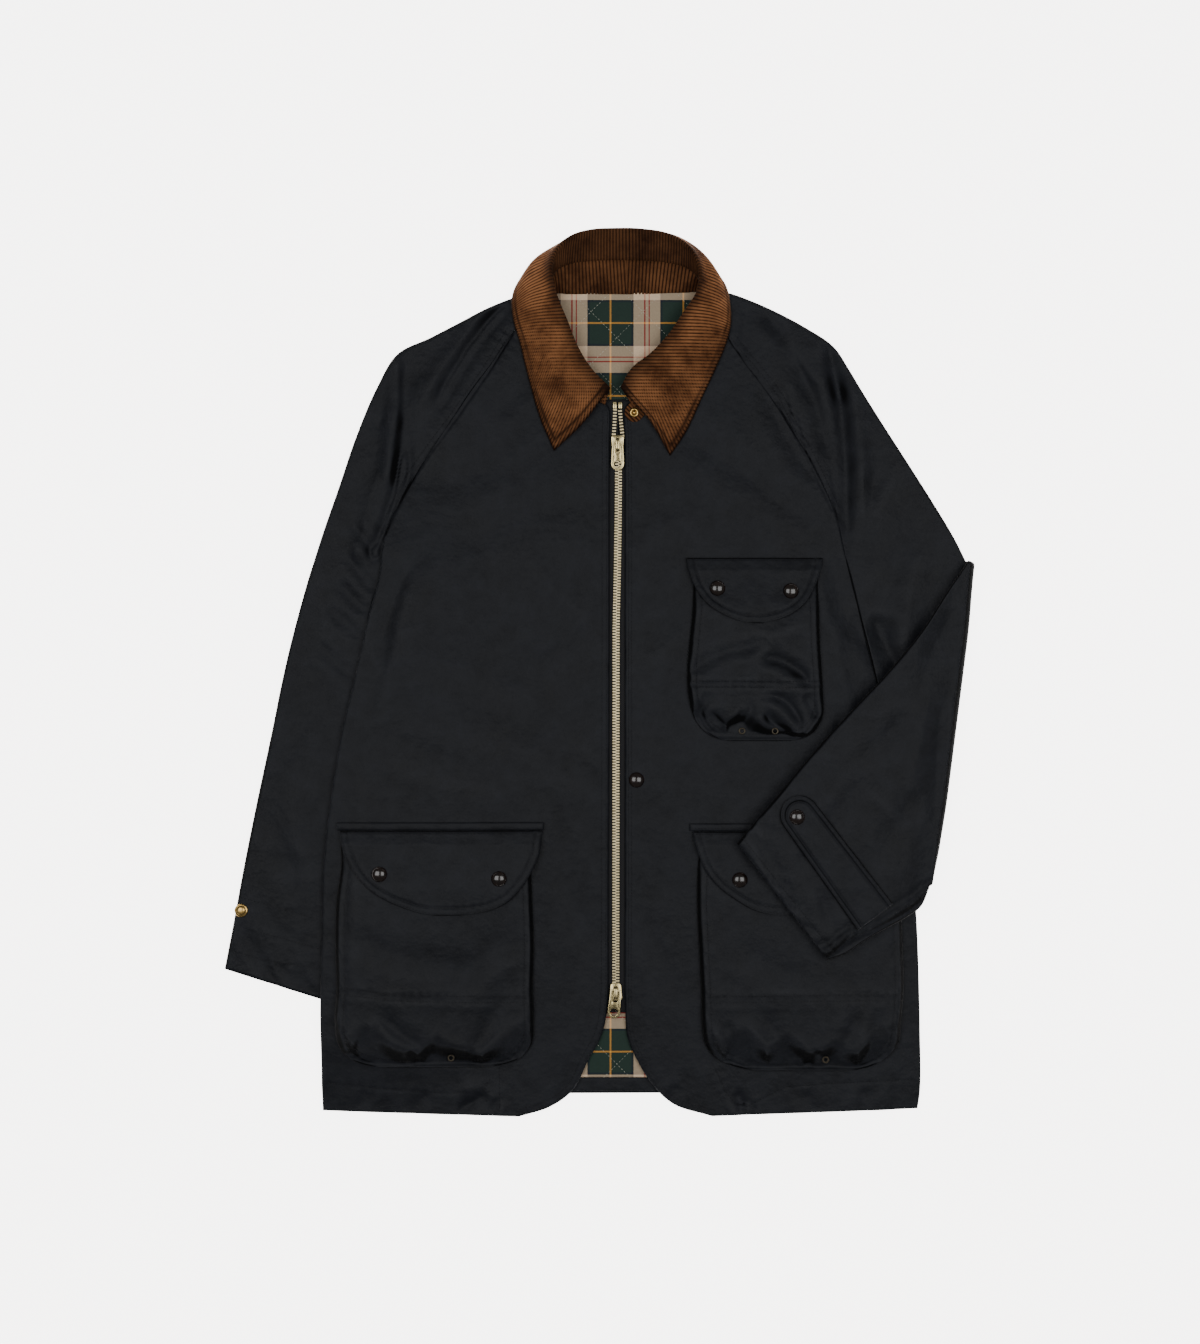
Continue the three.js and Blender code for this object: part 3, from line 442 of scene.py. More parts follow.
def makeThread(name, dark, light):
    material, tree, shader = newMaterial(name, {"Roughness": 0.6, "Specular IOR Level": 0.12})
    point = objectPoint(tree)
    finishShader(tree, shader, mottled(tree, point, 400, 2, dark, light), noise(tree, point, 2500, 2), 0.3, 0.0002)
    return material


waxedCotton = makeWaxedCotton()
corduroy = makeCorduroy()
liningCheck = makeLining()
paleBrass = makeBrass("paleBrass", (0.40, 0.33, 0.17), 0.22)
toothBrass = makeBrass("toothBrass", (0.50, 0.42, 0.25), 0.36)
agedBrass = makeBrass("agedBrass", (0.045, 0.038, 0.028), 0.38)
goldBrass = makeBrass("goldBrass", (0.41, 0.27, 0.09), 0.26)
enamel = makeEnamel()
tapeCloth = makeTape()
blackThread = makeThread("blackThread", (0.004, 0.004, 0.005), (0.011, 0.0115, 0.013))
brownThread = makeThread("brownThread", (0.020, 0.008, 0.003), (0.055, 0.022, 0.009))
paleThread = makeThread("paleThread", (0.45, 0.45, 0.38), (0.62, 0.60, 0.50))
print("materials ready")


# Outlines, the same as the solids'. Columns: outer x and y, inner x and y, from the neck down.
rightFrontRows = [
    (-91, 799, -72, 799), (-109, 779, -68, 779), (-126, 754, -59, 755), (-145, 729, -43, 733),
    (-156, 713, -23, 720), (-167, 696, -9, 711), (-193, 657, -7.7, 677), (-214.6, 620, -7.7, 637),
    (-232, 581, -7.7, 595), (-238, 540, -7.7, 551), (-247, 505, -7.7, 514), (-255, 471, -7.7, 477),
    (-265, 428, -7.9, 433), (-275, 385, -8, 389), (-287, 313, -8.2, 317), (-293.5, 249, -8.4, 251),
    (-295, 184, -8.6, 187), (-296.5, 105, -9.5, 113), (-296, 77, -15, 83), (-295.5, 51, -29, 56),
    (-295.5, 33, -44, 27), (-295, 18, -67, 10), (-294.5, 6, -98, 0.2)]
leftFrontRows = [
    (94, 799, 77, 799), (111, 779, 71, 779), (129, 753, 59, 755), (145, 733, 38, 733), (155, 719, 23, 720),
    (168, 699, 9, 711), (189, 665, 8, 677), (208, 629, 8, 637), (219, 603, 8, 605), (229, 561, 8, 565),
    (251, 483, 8, 489), (268, 403, 8, 407), (281, 331, 8, 333), (291, 267, 8, 267), (299, 212, 8, 212),
    (303, 113, 8, 116), (303.5, 83, 10.5, 80), (304, 57, 20, 57), (304, 37, 35, 33), (303, 21, 56, 13),
    (301, 8, 95, 0.5)]
backRows = [
    (-70, 843, 87, 843), (-69, 832, 86, 832), (-67, 822, 84, 823), (-65, 806, 70, 806), (-69, 796.5, 75, 797),
    (-89, 794, 92, 794.5), (-109, 777, 111, 777),
    (-126, 752, 128, 751), (-145, 727, 144, 731), (-167, 694, 167, 697), (-193, 655, 188, 663),
    (-214, 618, 207, 627), (-231, 580, 218, 601), (-236, 540, 228, 560), (-245, 505, 239, 520),
    (-253, 471, 249, 483), (-263, 430, 258, 443), (-273, 385, 266, 403), (-285, 313, 279, 331),
    (-291, 249, 289, 267), (-293, 205, 297, 212), (-293, 160, 299, 160), (-294, 105, 301, 113),
    (-294, 77, 301, 80), (-293, 50, 302, 55), (-293, 22, 301, 24)]
tuckedEdge = np.array([[106, -260], [145, -240], [203, -218], [261, -199], [339, -189], [427, -217], [495, -252],
                       [545, -241]], float)
sideEdges = {-1: np.array([[r[1], r[0]] for r in rightFrontRows[8:]], float)[::-1],
             1: np.array([[r[1], r[0]] for r in leftFrontRows[8:]], float)[::-1]}
# Slopes over the tucked sleeve: above, below and beside it, each as its far end and its length.
# The fronts rise in wider and softer slopes than the back.
tuckSlopes = {"back": ((547, 42), (38, 52), (71, 52)), "front": ((640, 135), (-4, 94), (150, 131))}


def tuckLift(x, y, piece):
    above, below, aside = tuckSlopes[piece]
    along = smooth((above[0] - y) / above[1]) * smooth((y - below[0]) / below[1])
    return tuckHeight * along * smooth((np.interp(y, *tuckedEdge.T) + aside[0] - x) / aside[1])


def frontUnderAt(x, y):
    lift = np.maximum(tuckLift(x, y, "front"), tuckLift(x, y, "back"))
    edge = np.where(x < 0, -np.interp(y, *sideEdges[-1].T), np.interp(y, *sideEdges[1].T))
    drop = cloth["sideDrop"] * (1 - smooth((edge - np.abs(x)) / 40)) * smooth((575 - y) / 50)
    wave = 0.35 * np.sin(x / 31 + y / 57) + 0.3 * np.sin(y / 43 - x / 71)
    flat = smooth(np.abs(x) / 40)
    return cloth["frontUnder"] - drop + lift + (0.6 + wave) * flat * smooth(1 - drop)


def frontTopAt(x, y):
    return frontUnderAt(x, y) + cloth["frontThick"]


# The front's upper face, as a sheet that spans its dips follows it.
def bridged(x, y):
    return np.maximum.reduce([frontTopAt(x + aside, y) for aside in (-11, 11, 0)])


# What lies on the fronts hides and flattens them. Columns: lowest x, highest x, lowest y, highest y.
pocketAreas = [(-284, -78, 48, 296), (72, 289, 44, 295), (68, 208, 376, 560)]


def bare(x, y):
    free = np.ones_like(x)
    for lowX, highX, lowY, highY in pocketAreas:
        inside = smooth((x - lowX) / 10) * smooth((highX - x) / 10) * smooth((y - lowY) / 10) * smooth((highY - y) / 10)
        free = free * (1 - inside)
    return free


def floats(rows):
    return np.array(rows, float)


# Way along and distance from a chain of points, for every x, y.
def nearPath(x, y, path):
    path = floats(path)
    best, along, start = np.full(x.shape, 1e9), np.zeros(x.shape), 0.0
    for (ax, ay), (bx, by) in zip(path[:-1], path[1:]):
        length = math.hypot(bx - ax, by - ay)
        t = np.clip(((x - ax) * (bx - ax) + (y - ay) * (by - ay)) / length ** 2, 0, 1)
        away = np.hypot(x - ax - t * (bx - ax), y - ay - t * (by - ay))
        closer = away < best
        best, along = np.where(closer, away, best), np.where(closer, start + t * length, along)
        start += length
    return best, along


# Ripples and a groove along a sewn path.
def seamRelief(x, y, path, seed, pitch, reach, height, groove=0.0, wide=1.4, offset=0):
    away, along = nearPath(x, y, path)
    return pucker(away - offset, along, seed, pitch, reach, height) - groove * hump(away, wide)


# How much a surface stands out from its surroundings, which is where wax wears pale.
def rubOf(z):
    soft = z.copy()
    for _ in range(3):
        padded = np.pad(soft, 1, mode="edge")
        soft = (padded[:-2, 1:-1] + padded[2:, 1:-1] + padded[1:-1, :-2] + padded[1:-1, 2:] + soft) / 5
    return np.where(np.abs(z - soft) > 0.7, 0, np.clip((z - soft) * 0.9, 0, 0.6))


# Hangs a cloth piece on the jacket and hides the solid that it replaces.
def declare(obj, node, held, width, length, area, slotName="waxed_cotton"):
    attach(obj, "jacket")
    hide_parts(node)


# Fronts
raglanRight = [(-104, 785), (-128, 746), (-158, 703), (-189, 661), (-210, 629), (-232, 583)]
raglanLeft = [(113, 777), (132, 754), (159, 720), (174, 690), (196, 649), (216, 607)]
fronts = {"flat": (305, 812), "length": 830, "cell": 3.6, "columns": 92, "folds": 1.7, "hemFolds": 2.1,
          "waveHeight": 0.45, "shortWaveHeight": 0.25, "puckerHeight": 0.30, "raglanGroove": 0.9, "hemGroove": 0.25,
          "zipPucker": 0.20, "hemPucker": 0.28, "zipSeam": 15}
frontFolds = [
    (238, 497, 262, 452, -1.6, 9, 0),
    (-112, 780, -168, 708, -1.6, 9, 4), (-40, 610, -150, 575, -0.8, 16, 6), (-36, 470, -120, 440, -0.7, 18, -5),
    (-200, 560, -236, 470, -1.3, 10, 5), (60, 690, 140, 640, -0.9, 14, 4), (150, 720, 196, 640, -1.2, 9, 3),
    (-60, 300, -30, 180, -0.8, 13, 4), (30, 200, 62, 120, -0.7, 12, 0), (-220, 640, -120, 650, -0.8, 16, 6),
    (-180, 420, -60, 380, -0.6, 15, -7), (-230, 380, -120, 345, -0.7, 12, 6), (20, 470, 66, 500, -0.6, 10, 2),
    (-90, 560, -30, 500, 0.5, 12, 5), (20, 560, 66, 600, 0.5, 12, -3), (215, 560, 235, 470, -0.7, 9, 2),
    (-150, 30, -120, 20, 0.7, 8, 1), (130, 640, 190, 600, -0.7, 10, 3), (-12, 330, -60, 360, -0.5, 10, 2),
    (12, 420, 50, 380, -0.5, 10, 2), (220, 400, 262, 330, -0.8, 9, 3), (-70, 730, -110, 690, 0.6, 9, 2)]
hemCreases = [
    (120, 22, 135, 4, -1.4, 6, 1), (-132, 22, -157, 6, -1.3, 7, 1), (128, 12, 133, 4, 1.5, 4, 0),
    (-112, 14, -118, 2, 0.8, 5, 0), (60, 30, 50, 12, -0.6, 6, 1), (-190, 22, -205, 4, -0.7, 8, 2),
    (-250, 24, -262, 6, -0.6, 7, 0), (190, 24, 200, 6, -0.7, 8, 2), (250, 26, 245, 6, -0.6, 7, 0)]
hemStitch = {-1: [(-288, 34), (-230, 28), (-172, 24), (-134, 25), (-128, 37)],
             1: [(96, 53), (101, 42), (108, 26), (118, 14), (130, 10), (168, 30), (223, 34), (295, 37)]}


def frontDetail(x, y):
    free = bare(x, y)
    z = fronts["folds"] * foldField(x, y, frontFolds) * free + fronts["hemFolds"] * foldField(x, y, hemCreases)
    z += fronts["waveHeight"] * slowWaves(x, y, 4, 120) * free * smooth((np.abs(x) - 8) / 30)
    z += fronts["shortWaveHeight"] * slowWaves(x, y, 9, 34, 9) * free
    for path in (raglanRight, raglanLeft):
        z += seamRelief(x, y, path, 3, 9, 6, fronts["puckerHeight"], fronts["raglanGroove"], 1.6, 3)
    for side in (-1, 1):
        zipSeam = [(side * fronts["zipSeam"], end) for end in (700, 120)]
        z += seamRelief(x, y, zipSeam, 5 + side, 13, 5, fronts["zipPucker"])
        z += seamRelief(x, y, hemStitch[side], 8 + side, 11, 6, fronts["hemPucker"], fronts["hemGroove"])
    return z


def makeFront(node, rows):
    rows = floats(rows)
    grid = railGrid(rows[:, :2], rows[:, 2:], int(fronts["length"] / fronts["cell"]), fronts["columns"], 0.35)
    x, y = grid[..., 0], grid[..., 1]
    under = frontUnderAt(x, y)
    middle = under + frontDetail(x, y) + cloth["frontThick"] / 2
    half = cloth["frontThick"] * rimRound(x.shape, 0.45) / 2
    upper = withHeight(grid, middle + half)
    low = withHeight(grid, np.maximum(middle - half, under - 0.6))
    obj = bodyBetween(node + "Cloth", upper, low, waxedCotton, {"rub": rubOf(middle + half)})
    declare(obj, node, "laid", *fronts["flat"], gridArea(upper))


makeFront("right_front", rightFrontRows)
makeFront("left_front", leftFrontRows)
print("fronts made")


# Back: flat where the jacket lies, with soft creases pressed up into it.
back = {"flat": (600, 812), "rows": 160, "columns": 110, "pressed": 0.9}
backCreases = [
    (-180, 700, -60, 560, 1.0, 12, 8), (170, 690, 70, 540, 1.0, 12, -8), (-40, 640, 60, 600, 0.8, 16, 6),
    (-230, 420, -80, 360, 0.9, 14, 8), (240, 380, 90, 330, 0.9, 14, -8), (-30, 470, 10, 250, 0.7, 18, 5),
    (-200, 180, -90, 120, 0.8, 14, 5), (200, 200, 110, 110, 0.8, 14, -5), (-60, 120, 50, 90, 0.6, 14, 4),
    (-140, 520, -20, 500, 0.6, 15, 5), (120, 470, 30, 430, 0.6, 15, -5)]


def makeBack():
    rows = floats(backRows)
    grid = railGrid(rows[:, :2], rows[:, 2:], back["rows"], back["columns"], 0.2)
    x, y = grid[..., 0], grid[..., 1]
    press = np.clip(foldField(x, y, backCreases) + 0.18 * (1 + slowWaves(x, y, 12, 60)), 0, 1.3)
    lift = tuckLift(x, y, "back")
    low = withHeight(grid, lift + press * back["pressed"])
    obj = bodyBetween("backCloth", withHeight(grid, lift + cloth["shell"] + 0.25 * press), low, waxedCotton,
                      {"rub": rubOf(press)})
    declare(obj, "back_panel", "laid", *back["flat"], gridArea(low))


makeBack()
print("back made")


# Sleeves. Columns: outer x, outer y, inner x, inner y, how far the inner edge is closed.
rightSleeveRows = [
    (-84, 826, -72.5, 800.6, 0), (-104, 820, -91.5, 799.8, 0), (-131, 809, -110, 779.6, 0),
    (-157, 795.5, -127, 754.8, 0), (-187, 780, -146, 729.8, 0), (-220, 763.5, -168, 696.8, 0),
    (-241, 729, -194, 657.8, 0), (-262, 679, -215.6, 620.8, 0), (-279, 629, -233, 582, 0),
    (-293, 589, -241, 545, 0.6), (-303, 558, -249, 518, 1), (-312, 529, -253, 495, 1), (-328, 469, -217, 427, 1),
    (-337, 429, -199, 383, 1), (-345, 389, -189, 339, 1), (-362, 309, -199, 261, 1), (-374, 249, -218, 203, 1),
    (-385, 189, -240, 145, 1), (-393, 148, -260, 106, 1)]
leftUpperRows = [
    (89, 828, 77.6, 800, 0), (111, 825, 95, 800, 0), (133, 817.5, 112, 780, 0), (158, 806.5, 130, 753.7, 0),
    (189, 790, 156, 719.7, 0), (217, 771, 190, 665.7, 0), (232, 749, 209, 629.7, 0), (244, 729, 220, 603.7, 0),
    (264, 697, 231.5, 561, 0.6), (291, 655, 247, 505, 1), (317, 614, 262.5, 445, 1), (338, 579, 283, 347, 1),
    (349.465, 556, 311.5, 232, 1)]
foldLine = (349.465, 556, 311.5, 232)
forearmRows = [
    (349.465, 556, 311.5, 232, 1), (327, 523, 303, 212, 1), (305, 489, 290, 202, 1), (269, 445, 273, 193, 1),
    (235, 409, 258, 185, 1), (201, 372, 243, 176, 1), (163, 327, 226, 165, 1), (119, 275, 209, 159, 1)]
sleeves = {"rightFlat": (300, 740), "leftFlat": (320, 740), "columns": 62, "rightUnder": 12, "leftUnder": 52,
           "rightRows": 240, "leftRows": (130, 20, 90), "rightFolds": 1.4, "upperFolds": 1.5, "forearmFolds": 1.9,
           "rightWaves": ((0.7, 90), (0.3, 32)), "upperWaves": ((0.5, 90), (0.3, 32)),
           "forearmWaves": ((0.6, 80), (0.28, 30)), "forearmLimits": (-4.2, 2.1), "cuffGroove": 0.3}
# How far the inner edges reach into the body, so that no light shows between. Columns: y, millimetres.
rightLaps = [(430, 0), (470, 6), (545, 8), (582, 4.5), (620, 1.6), (800, 1.4)]
leftLaps = [(232, 0), (260, 0), (300, 1.5), (347, 4), (445, 5.5), (505, 5), (561, 3.5), (603, 1.6), (800, 1.4)]


def forearmHeight(x, y):
    foldX = foldLine[2] + (foldLine[0] - foldLine[2]) * (y - foldLine[3]) / (foldLine[1] - foldLine[3])
    return cloth["sleeveHalf"] + 2 * cloth["foldRadius"] + cloth["forearmRise"] * smooth((foldX - x) / 46)


def flatSections(rows, count, height=None, face=1.0, laps=None):
    rows = floats(rows)
    ts = np.linspace(0, 1, count)
    outer, inner = railPoints(rows[:, :2], ts), railPoints(rows[:, 2:4], ts)
    closed = np.interp(ts * (len(rows) - 1), np.arange(len(rows)), rows[:, 4])
    if laps is not None:
        along = unit(np.gradient(inner, axis=0))
        away = np.column_stack([along[:, 1], -along[:, 0]])
        away = away * np.sign(np.sum(away * (inner - outer), axis=1))[:, None]
        inner = inner + away * np.interp(inner[:, 1], *floats(laps).T)[:, None]
    heights = [np.full(count, cloth["sleeveHalf"]) if height is None else height(p[:, 0], p[:, 1])
               for p in (outer, inner)]
    join = [np.column_stack([p, h]) for p, h in zip((outer, inner), heights)]
    return join[0], join[1], np.tile([0.0, 0.0, face], (count, 1)), closed


def roundShare(distance, half):
    return np.sqrt(np.clip(1 - (1 - np.clip(distance / half, 0, 1)) ** 2, 0, 1))


# Points of a sleeve's skin, drawn in by `inset`: rows down the arm, columns round it.
def sleeveSkin(sections, inset, shares, sides):
    outer, inner, normal, closed = sections
    across = outer - inner
    width = np.linalg.norm(across, axis=1)
    across = across / width[:, None]
    half = cloth["sleeveHalf"] - inset
    start = (inset * closed)[:, None]
    place = start + ((width - inset)[:, None] - start) * shares[None, :]
    toOuter = roundShare((width - inset)[:, None] - place, half)
    toInner = mix(1, np.maximum(roundShare(place - inset, half), 0.12), closed[:, None])
    height = half * np.minimum(toOuter, toInner) * sides[None, :]
    height *= 1 - 0.7 * (1 - np.abs(normal[:, 2:3])) * (1 - smooth(shares / 0.12))[None, :]
    swell = np.column_stack([-normal[:, 0], -normal[:, 1], np.zeros(len(normal))]) * (cloth["foldRadius"] * 0.3)
    profile = (smooth(shares / 0.3) * smooth((1 - shares) / 0.25))[None, :, None]
    return (inner[:, None, :] + across[:, None, :] * place[..., None] + normal[:, None, :] * height[..., None]
            + swell[:, None, :] * profile)


# Shares across a sleeve, closer together at its edges.
def sleeveShares(count):
    even = np.linspace(0, 1, count)
    edge = np.array([0.004, 0.009, 0.016, 0.025])
    return np.unique(np.concatenate([mix(even, 0.5 - 0.5 * np.cos(np.pi * even), 0.55), edge, 1 - edge]))


def makeSleeve(node, sections, detailAt, underColumns, held, flat):
    upper, under = sleeveShares(sleeves["columns"]), sleeveShares(underColumns)[::-1][1:]
    shares = np.concatenate([upper, under])
    sides = np.concatenate([np.ones(len(upper)), -np.ones(len(under))])
    skin, lining = (sleeveSkin(sections, inset, shares, sides) for inset in (0, cloth["shell"]))
    facing = sections[2][:, 2][:, None] * sides[None, :]
    inset = np.minimum(shares, 1 - shares)[None, :]
    detail = detailAt(skin[..., 0], skin[..., 1]) * smooth(inset / 0.03 + 0.25) * (facing > 0)
    skin[..., 2] += detail
    lining[..., 2] += detail
    obj = bodyBetween(node + "Cloth", skin, lining, waxedCotton, {"rub": rubOf(skin[..., 2] * (facing > 0))})
    declare(obj, node, held, *flat, gridArea(skin))


rightSleeveFolds = [
    (-108, 815, -176, 716, -2.4, 8, 5), (-120, 818, -190, 724, 1.3, 8, 5), (-221, 761, -222, 698, 1.8, 8, -2),
    (-222, 698, -230, 640, 1.6, 8, 0), (-212, 745, -214, 640, -2.0, 8, 0), (-214, 650, -244, 560, -2.4, 7, -3),
    (-240, 640, -262, 560, 1.2, 8, 0), (-262, 590, -238, 560, -1.3, 6, 1), (-268, 560, -244, 528, -1.4, 6, 1),
    (-275, 530, -250, 505, -1.2, 6, 1), (-284, 505, -256, 480, -1.1, 6, 1), (-296, 470, -262, 440, -1.0, 7, 1),
    (-300, 590, -290, 480, 0.8, 12, 3), (-320, 480, -310, 360, -0.8, 14, -5), (-300, 380, -340, 300, -0.9, 12, 4),
    (-330, 330, -310, 240, 0.7, 12, 2), (-350, 300, -322, 230, -0.8, 9, -3), (-150, 790, -180, 740, -0.9, 8, 2),
    (-376, 190, -338, 130, -1.3, 6, 2), (-335, 149, -314, 124, -1.1, 5, 1), (-320, 146, -298, 118, -1.0, 5, 1),
    (-360, 215, -330, 180, -0.7, 7, 1), (-345, 260, -300, 250, -0.6, 9, 2), (-172, 760, -232, 660, 0.9, 12, 6)]
cuffRight = [[(-378, 220), (-297, 197)], [(-371, 188), (-297, 168)], [(-389, 167), (-354, 157), (-297, 148)]]


def rightSleeveDetail(x, y):
    z = sleeves["rightFolds"] * foldField(x, y, rightSleeveFolds) + uneven(x, y, 21, sleeves["rightWaves"])
    z += seamRelief(x, y, [(a - 4, b + 4) for a, b in raglanRight], 24, 9, 7, 0.4)
    for path in cuffRight:
        z += seamRelief(x, y, path, 25, 9, 6, 0.25, sleeves["cuffGroove"])
    return z * smooth((z + 3.2) / 3.2 + 0.35)


leftSleeveFolds = [
    (150, 803, 187, 741, -1.6, 8, -3), (187, 741, 210, 672, -1.6, 8, -2), (210, 672, 221, 607, -1.3, 7, 0),
    (212, 773, 223, 718, -2.0, 7, 0), (223, 718, 230, 573, -2.2, 8, -3), (234, 740, 246, 600, 1.5, 10, -3),
    (129, 807, 127, 766, -0.9, 6, 0), (161, 734, 175, 694, -0.8, 6, 1), (170, 780, 200, 735, 1.2, 9, 2),
    (260, 496, 281, 446, -3.2, 12, 0), (262, 650, 250, 560, -1.0, 10, 3), (290, 610, 270, 520, -1.1, 12, -3),
    (300, 560, 285, 460, 0.9, 12, 2), (318, 540, 300, 430, -0.8, 12, 3), (256, 600, 276, 640, 0.8, 8, 0)]
forearmFolds = [
    (136, 300, 160, 285, -0.7, 4, 1), (130, 285, 150, 262, -0.8, 4, -1), (142, 262, 168, 246, -0.6, 4, 1),
    (150, 240, 172, 232, -0.7, 4, 0), (160, 222, 180, 212, -0.7, 4, 1), (172, 200, 196, 188, -0.8, 4, 1),
    (330, 500, 300, 420, -1.0, 12, 4), (310, 440, 290, 340, 0.8, 14, -5), (290, 400, 240, 350, -0.9, 11, 3),
    (255, 340, 215, 300, -0.9, 9, 3), (300, 320, 260, 260, -0.8, 12, 4), (210, 300, 180, 250, -0.7, 8, -2),
    (150, 280, 175, 215, -0.8, 8, 2), (240, 260, 205, 205, -0.7, 9, 2), (320, 400, 318, 300, -0.7, 9, 2),
    (275, 300, 250, 330, 0.6, 10, 0), (200, 230, 215, 190, -0.6, 6, 0)]
lowerRidge = [(207, 167), (227, 184), (241, 189.5), (259, 196), (277, 206), (295, 218), (314, 232)]
cuffLeft = [[(118, 272), (208, 159)], [(124, 281), (216, 166)]]


def foldSections(count):
    ox, oy, ix, iy = foldLine
    outward = unit(np.array([oy - iy, ix - ox, 0.0]))
    angle = np.linspace(0, np.pi, count + 2)[1:-1]
    reach = (cloth["foldRadius"] * cloth["foldPinch"] * np.sin(angle))[:, None] * outward
    height = cloth["sleeveHalf"] + cloth["foldRadius"] * (1 - np.cos(angle))
    outer = np.column_stack([np.full(count, ox), np.full(count, oy), height]) + reach
    inner = np.column_stack([np.full(count, ix), np.full(count, iy), height]) + reach * 0.15
    normal = np.column_stack([0 * angle, 0 * angle, np.cos(angle)]) - np.sin(angle)[:, None] * outward
    return outer, inner, normal, np.ones(count)


# The left sleeve runs down to the elbow, turns over and comes back as the forearm.
upperCount, foldCount, foreCount = sleeves["leftRows"]
leftSections = tuple(np.concatenate(arrays) for arrays in zip(
    flatSections(leftUpperRows, upperCount, laps=leftLaps), foldSections(foldCount),
    flatSections(forearmRows, foreCount, forearmHeight, -1.0)))


def leftSleeveDetail(x, y):
    onTop = np.arange(x.shape[0])[:, None] >= upperCount + foldCount // 2
    upper = foldField(x, y, leftSleeveFolds) + uneven(x, y, 31, sleeves["upperWaves"])
    upper += seamRelief(x, y, [(a + 4, b + 4) for a, b in raglanLeft], 33, 9, 7, 0.45)
    away = nearPath(x, y, raglanLeft)[0]
    upper = np.maximum(sleeves["upperFolds"] * upper, -0.9 - 3.6 * smooth((away - 3) / 14))
    fore = sleeves["forearmFolds"] * foldField(x, y, forearmFolds) + uneven(x, y, 34, sleeves["forearmWaves"])
    below = (np.interp(x, *floats(lowerRidge).T) - y) * 0.84
    fore += seamRelief(x, y, lowerRidge, 36, 10, 6, 0.3, -1.5, 2.4) - 1.3 * hump(below + 6, 3)
    fore -= 3.2 * smooth(below / 11) * (x > 200)
    for path in cuffLeft:
        fore += seamRelief(x, y, path, 37, 9, 5, 0.25, sleeves["cuffGroove"])
    z = np.where(onTop, np.clip(fore, *sleeves["forearmLimits"]), upper)
    return z * np.abs(leftSections[2][:, 2:])


makeSleeve("right_sleeve", flatSections(rightSleeveRows, sleeves["rightRows"], laps=rightLaps), rightSleeveDetail,
           sleeves["rightUnder"], "laid", sleeves["rightFlat"])
makeSleeve("left_sleeve", leftSections, leftSleeveDetail, sleeves["leftUnder"], "folded", sleeves["leftFlat"])
print("sleeves made")


# Collar. Columns: neck seam, ridge, middle of the leaf and leaf edge, each as x, y, z.
collarRows = [
    (-12, 712, 11.1, -7, 728, 17.5, -35, 692, 16.2, -63, 666, 11.2),
    (-31, 724, 11.2, -26, 747, 20.5, -52, 723, 18.4, -77, 699, 11.2),
    (-47, 740, 11.5, -40, 769, 24, -64, 751, 20, -87, 733, 11.2),
    (-60, 762, 11.5, -51, 796, 27, -75, 786, 21, -97, 773, 11.2),
    (-66, 790, 11.4, -61, 821, 27, -85, 812, 20.5, -104, 799, 11.2),
    (-66, 813, 9.5, -66, 846, 24, -90, 833, 16, -105, 819, 11.2),
    (-61, 823.5, 6.6, -61, 865, 19, -84, 855, 11, -97, 836, 3.6),
    (-50, 823.5, 4.8, -45, 880, 15, -66, 867, 7, -68, 842, 1.9),
    (-26, 823.5, 4.2, -26, 886, 13.4, -34, 884, 5, -36, 847, 1.9),
    (-3, 823.5, 4.1, -3, 887.5, 13, -3, 887, 4.8, -3, 849, 1.9),
    (24, 823.5, 4.1, 23, 887, 13, 24, 886.5, 4.8, 26, 849, 1.9),
    (48, 824.5, 4.2, 51, 882, 13.4, 60, 880, 5, 56, 847, 1.9),
    (70, 825, 4.8, 71, 870, 15, 86, 863, 8, 88, 842, 2.2),
    (80, 825, 7, 82, 849, 19, 99, 843, 13.5, 107, 834, 8.6),
    (82, 812, 10, 80, 824, 24, 101, 812, 19, 114, 799, 11.4),
    (77, 790, 11.5, 67, 803, 27, 89, 792, 21, 110, 776, 11.2),
    (68, 765, 11.5, 52, 781, 26, 76, 764, 20, 99, 749, 11.2),
    (53, 745, 11.5, 34, 762, 22, 60, 740, 18.5, 85, 719, 11.2),
    (40, 724, 12.0, 15, 747, 20.5, 42, 714, 16.5, 69, 685, 11.2),
    (17, 709, 12.1, 4, 728, 18.5, 33, 695, 17.0, 53, 661, 11.3)]
# The shade values here are painted shade in the corduroy's colour: the stand's, the fall's and the most that any point
# takes.
collar = {"walePitch": 3.3, "waleHeight": 0.8, "rows": 720, "standColumns": 7, "fallColumns": 58, "join": 0.117,
          "seamInset": 6.0, "seamDepth": 0.8, "seamHalf": 1.1, "endSeamInset": 5.5, "endSeamDepth": 0.55,
          "longWaves": 0.5, "shortWaves": 0.35, "waleMiddle": 0.55, "standShade": 0.475, "fallShade": 0.702,
          "mostPaintedShade": 0.93, "fallWidth": 100, "standWidth": 12, "length": 430}


def collarGrid(shares, count):
    sections = []
    for row in collarRows:
        neck, ridge, middle, edge = np.array(row, float).reshape(4, 3)
        sections.append(railPoints([neck, mix(neck, ridge, 0.82), ridge, mix(ridge, middle, 0.35), middle, edge],
                                   shares))
    sections = np.array(sections)
    ts = np.linspace(0, 1, count)
    return np.stack([railPoints(sections[:, c], ts) for c in range(len(shares))], axis=1)


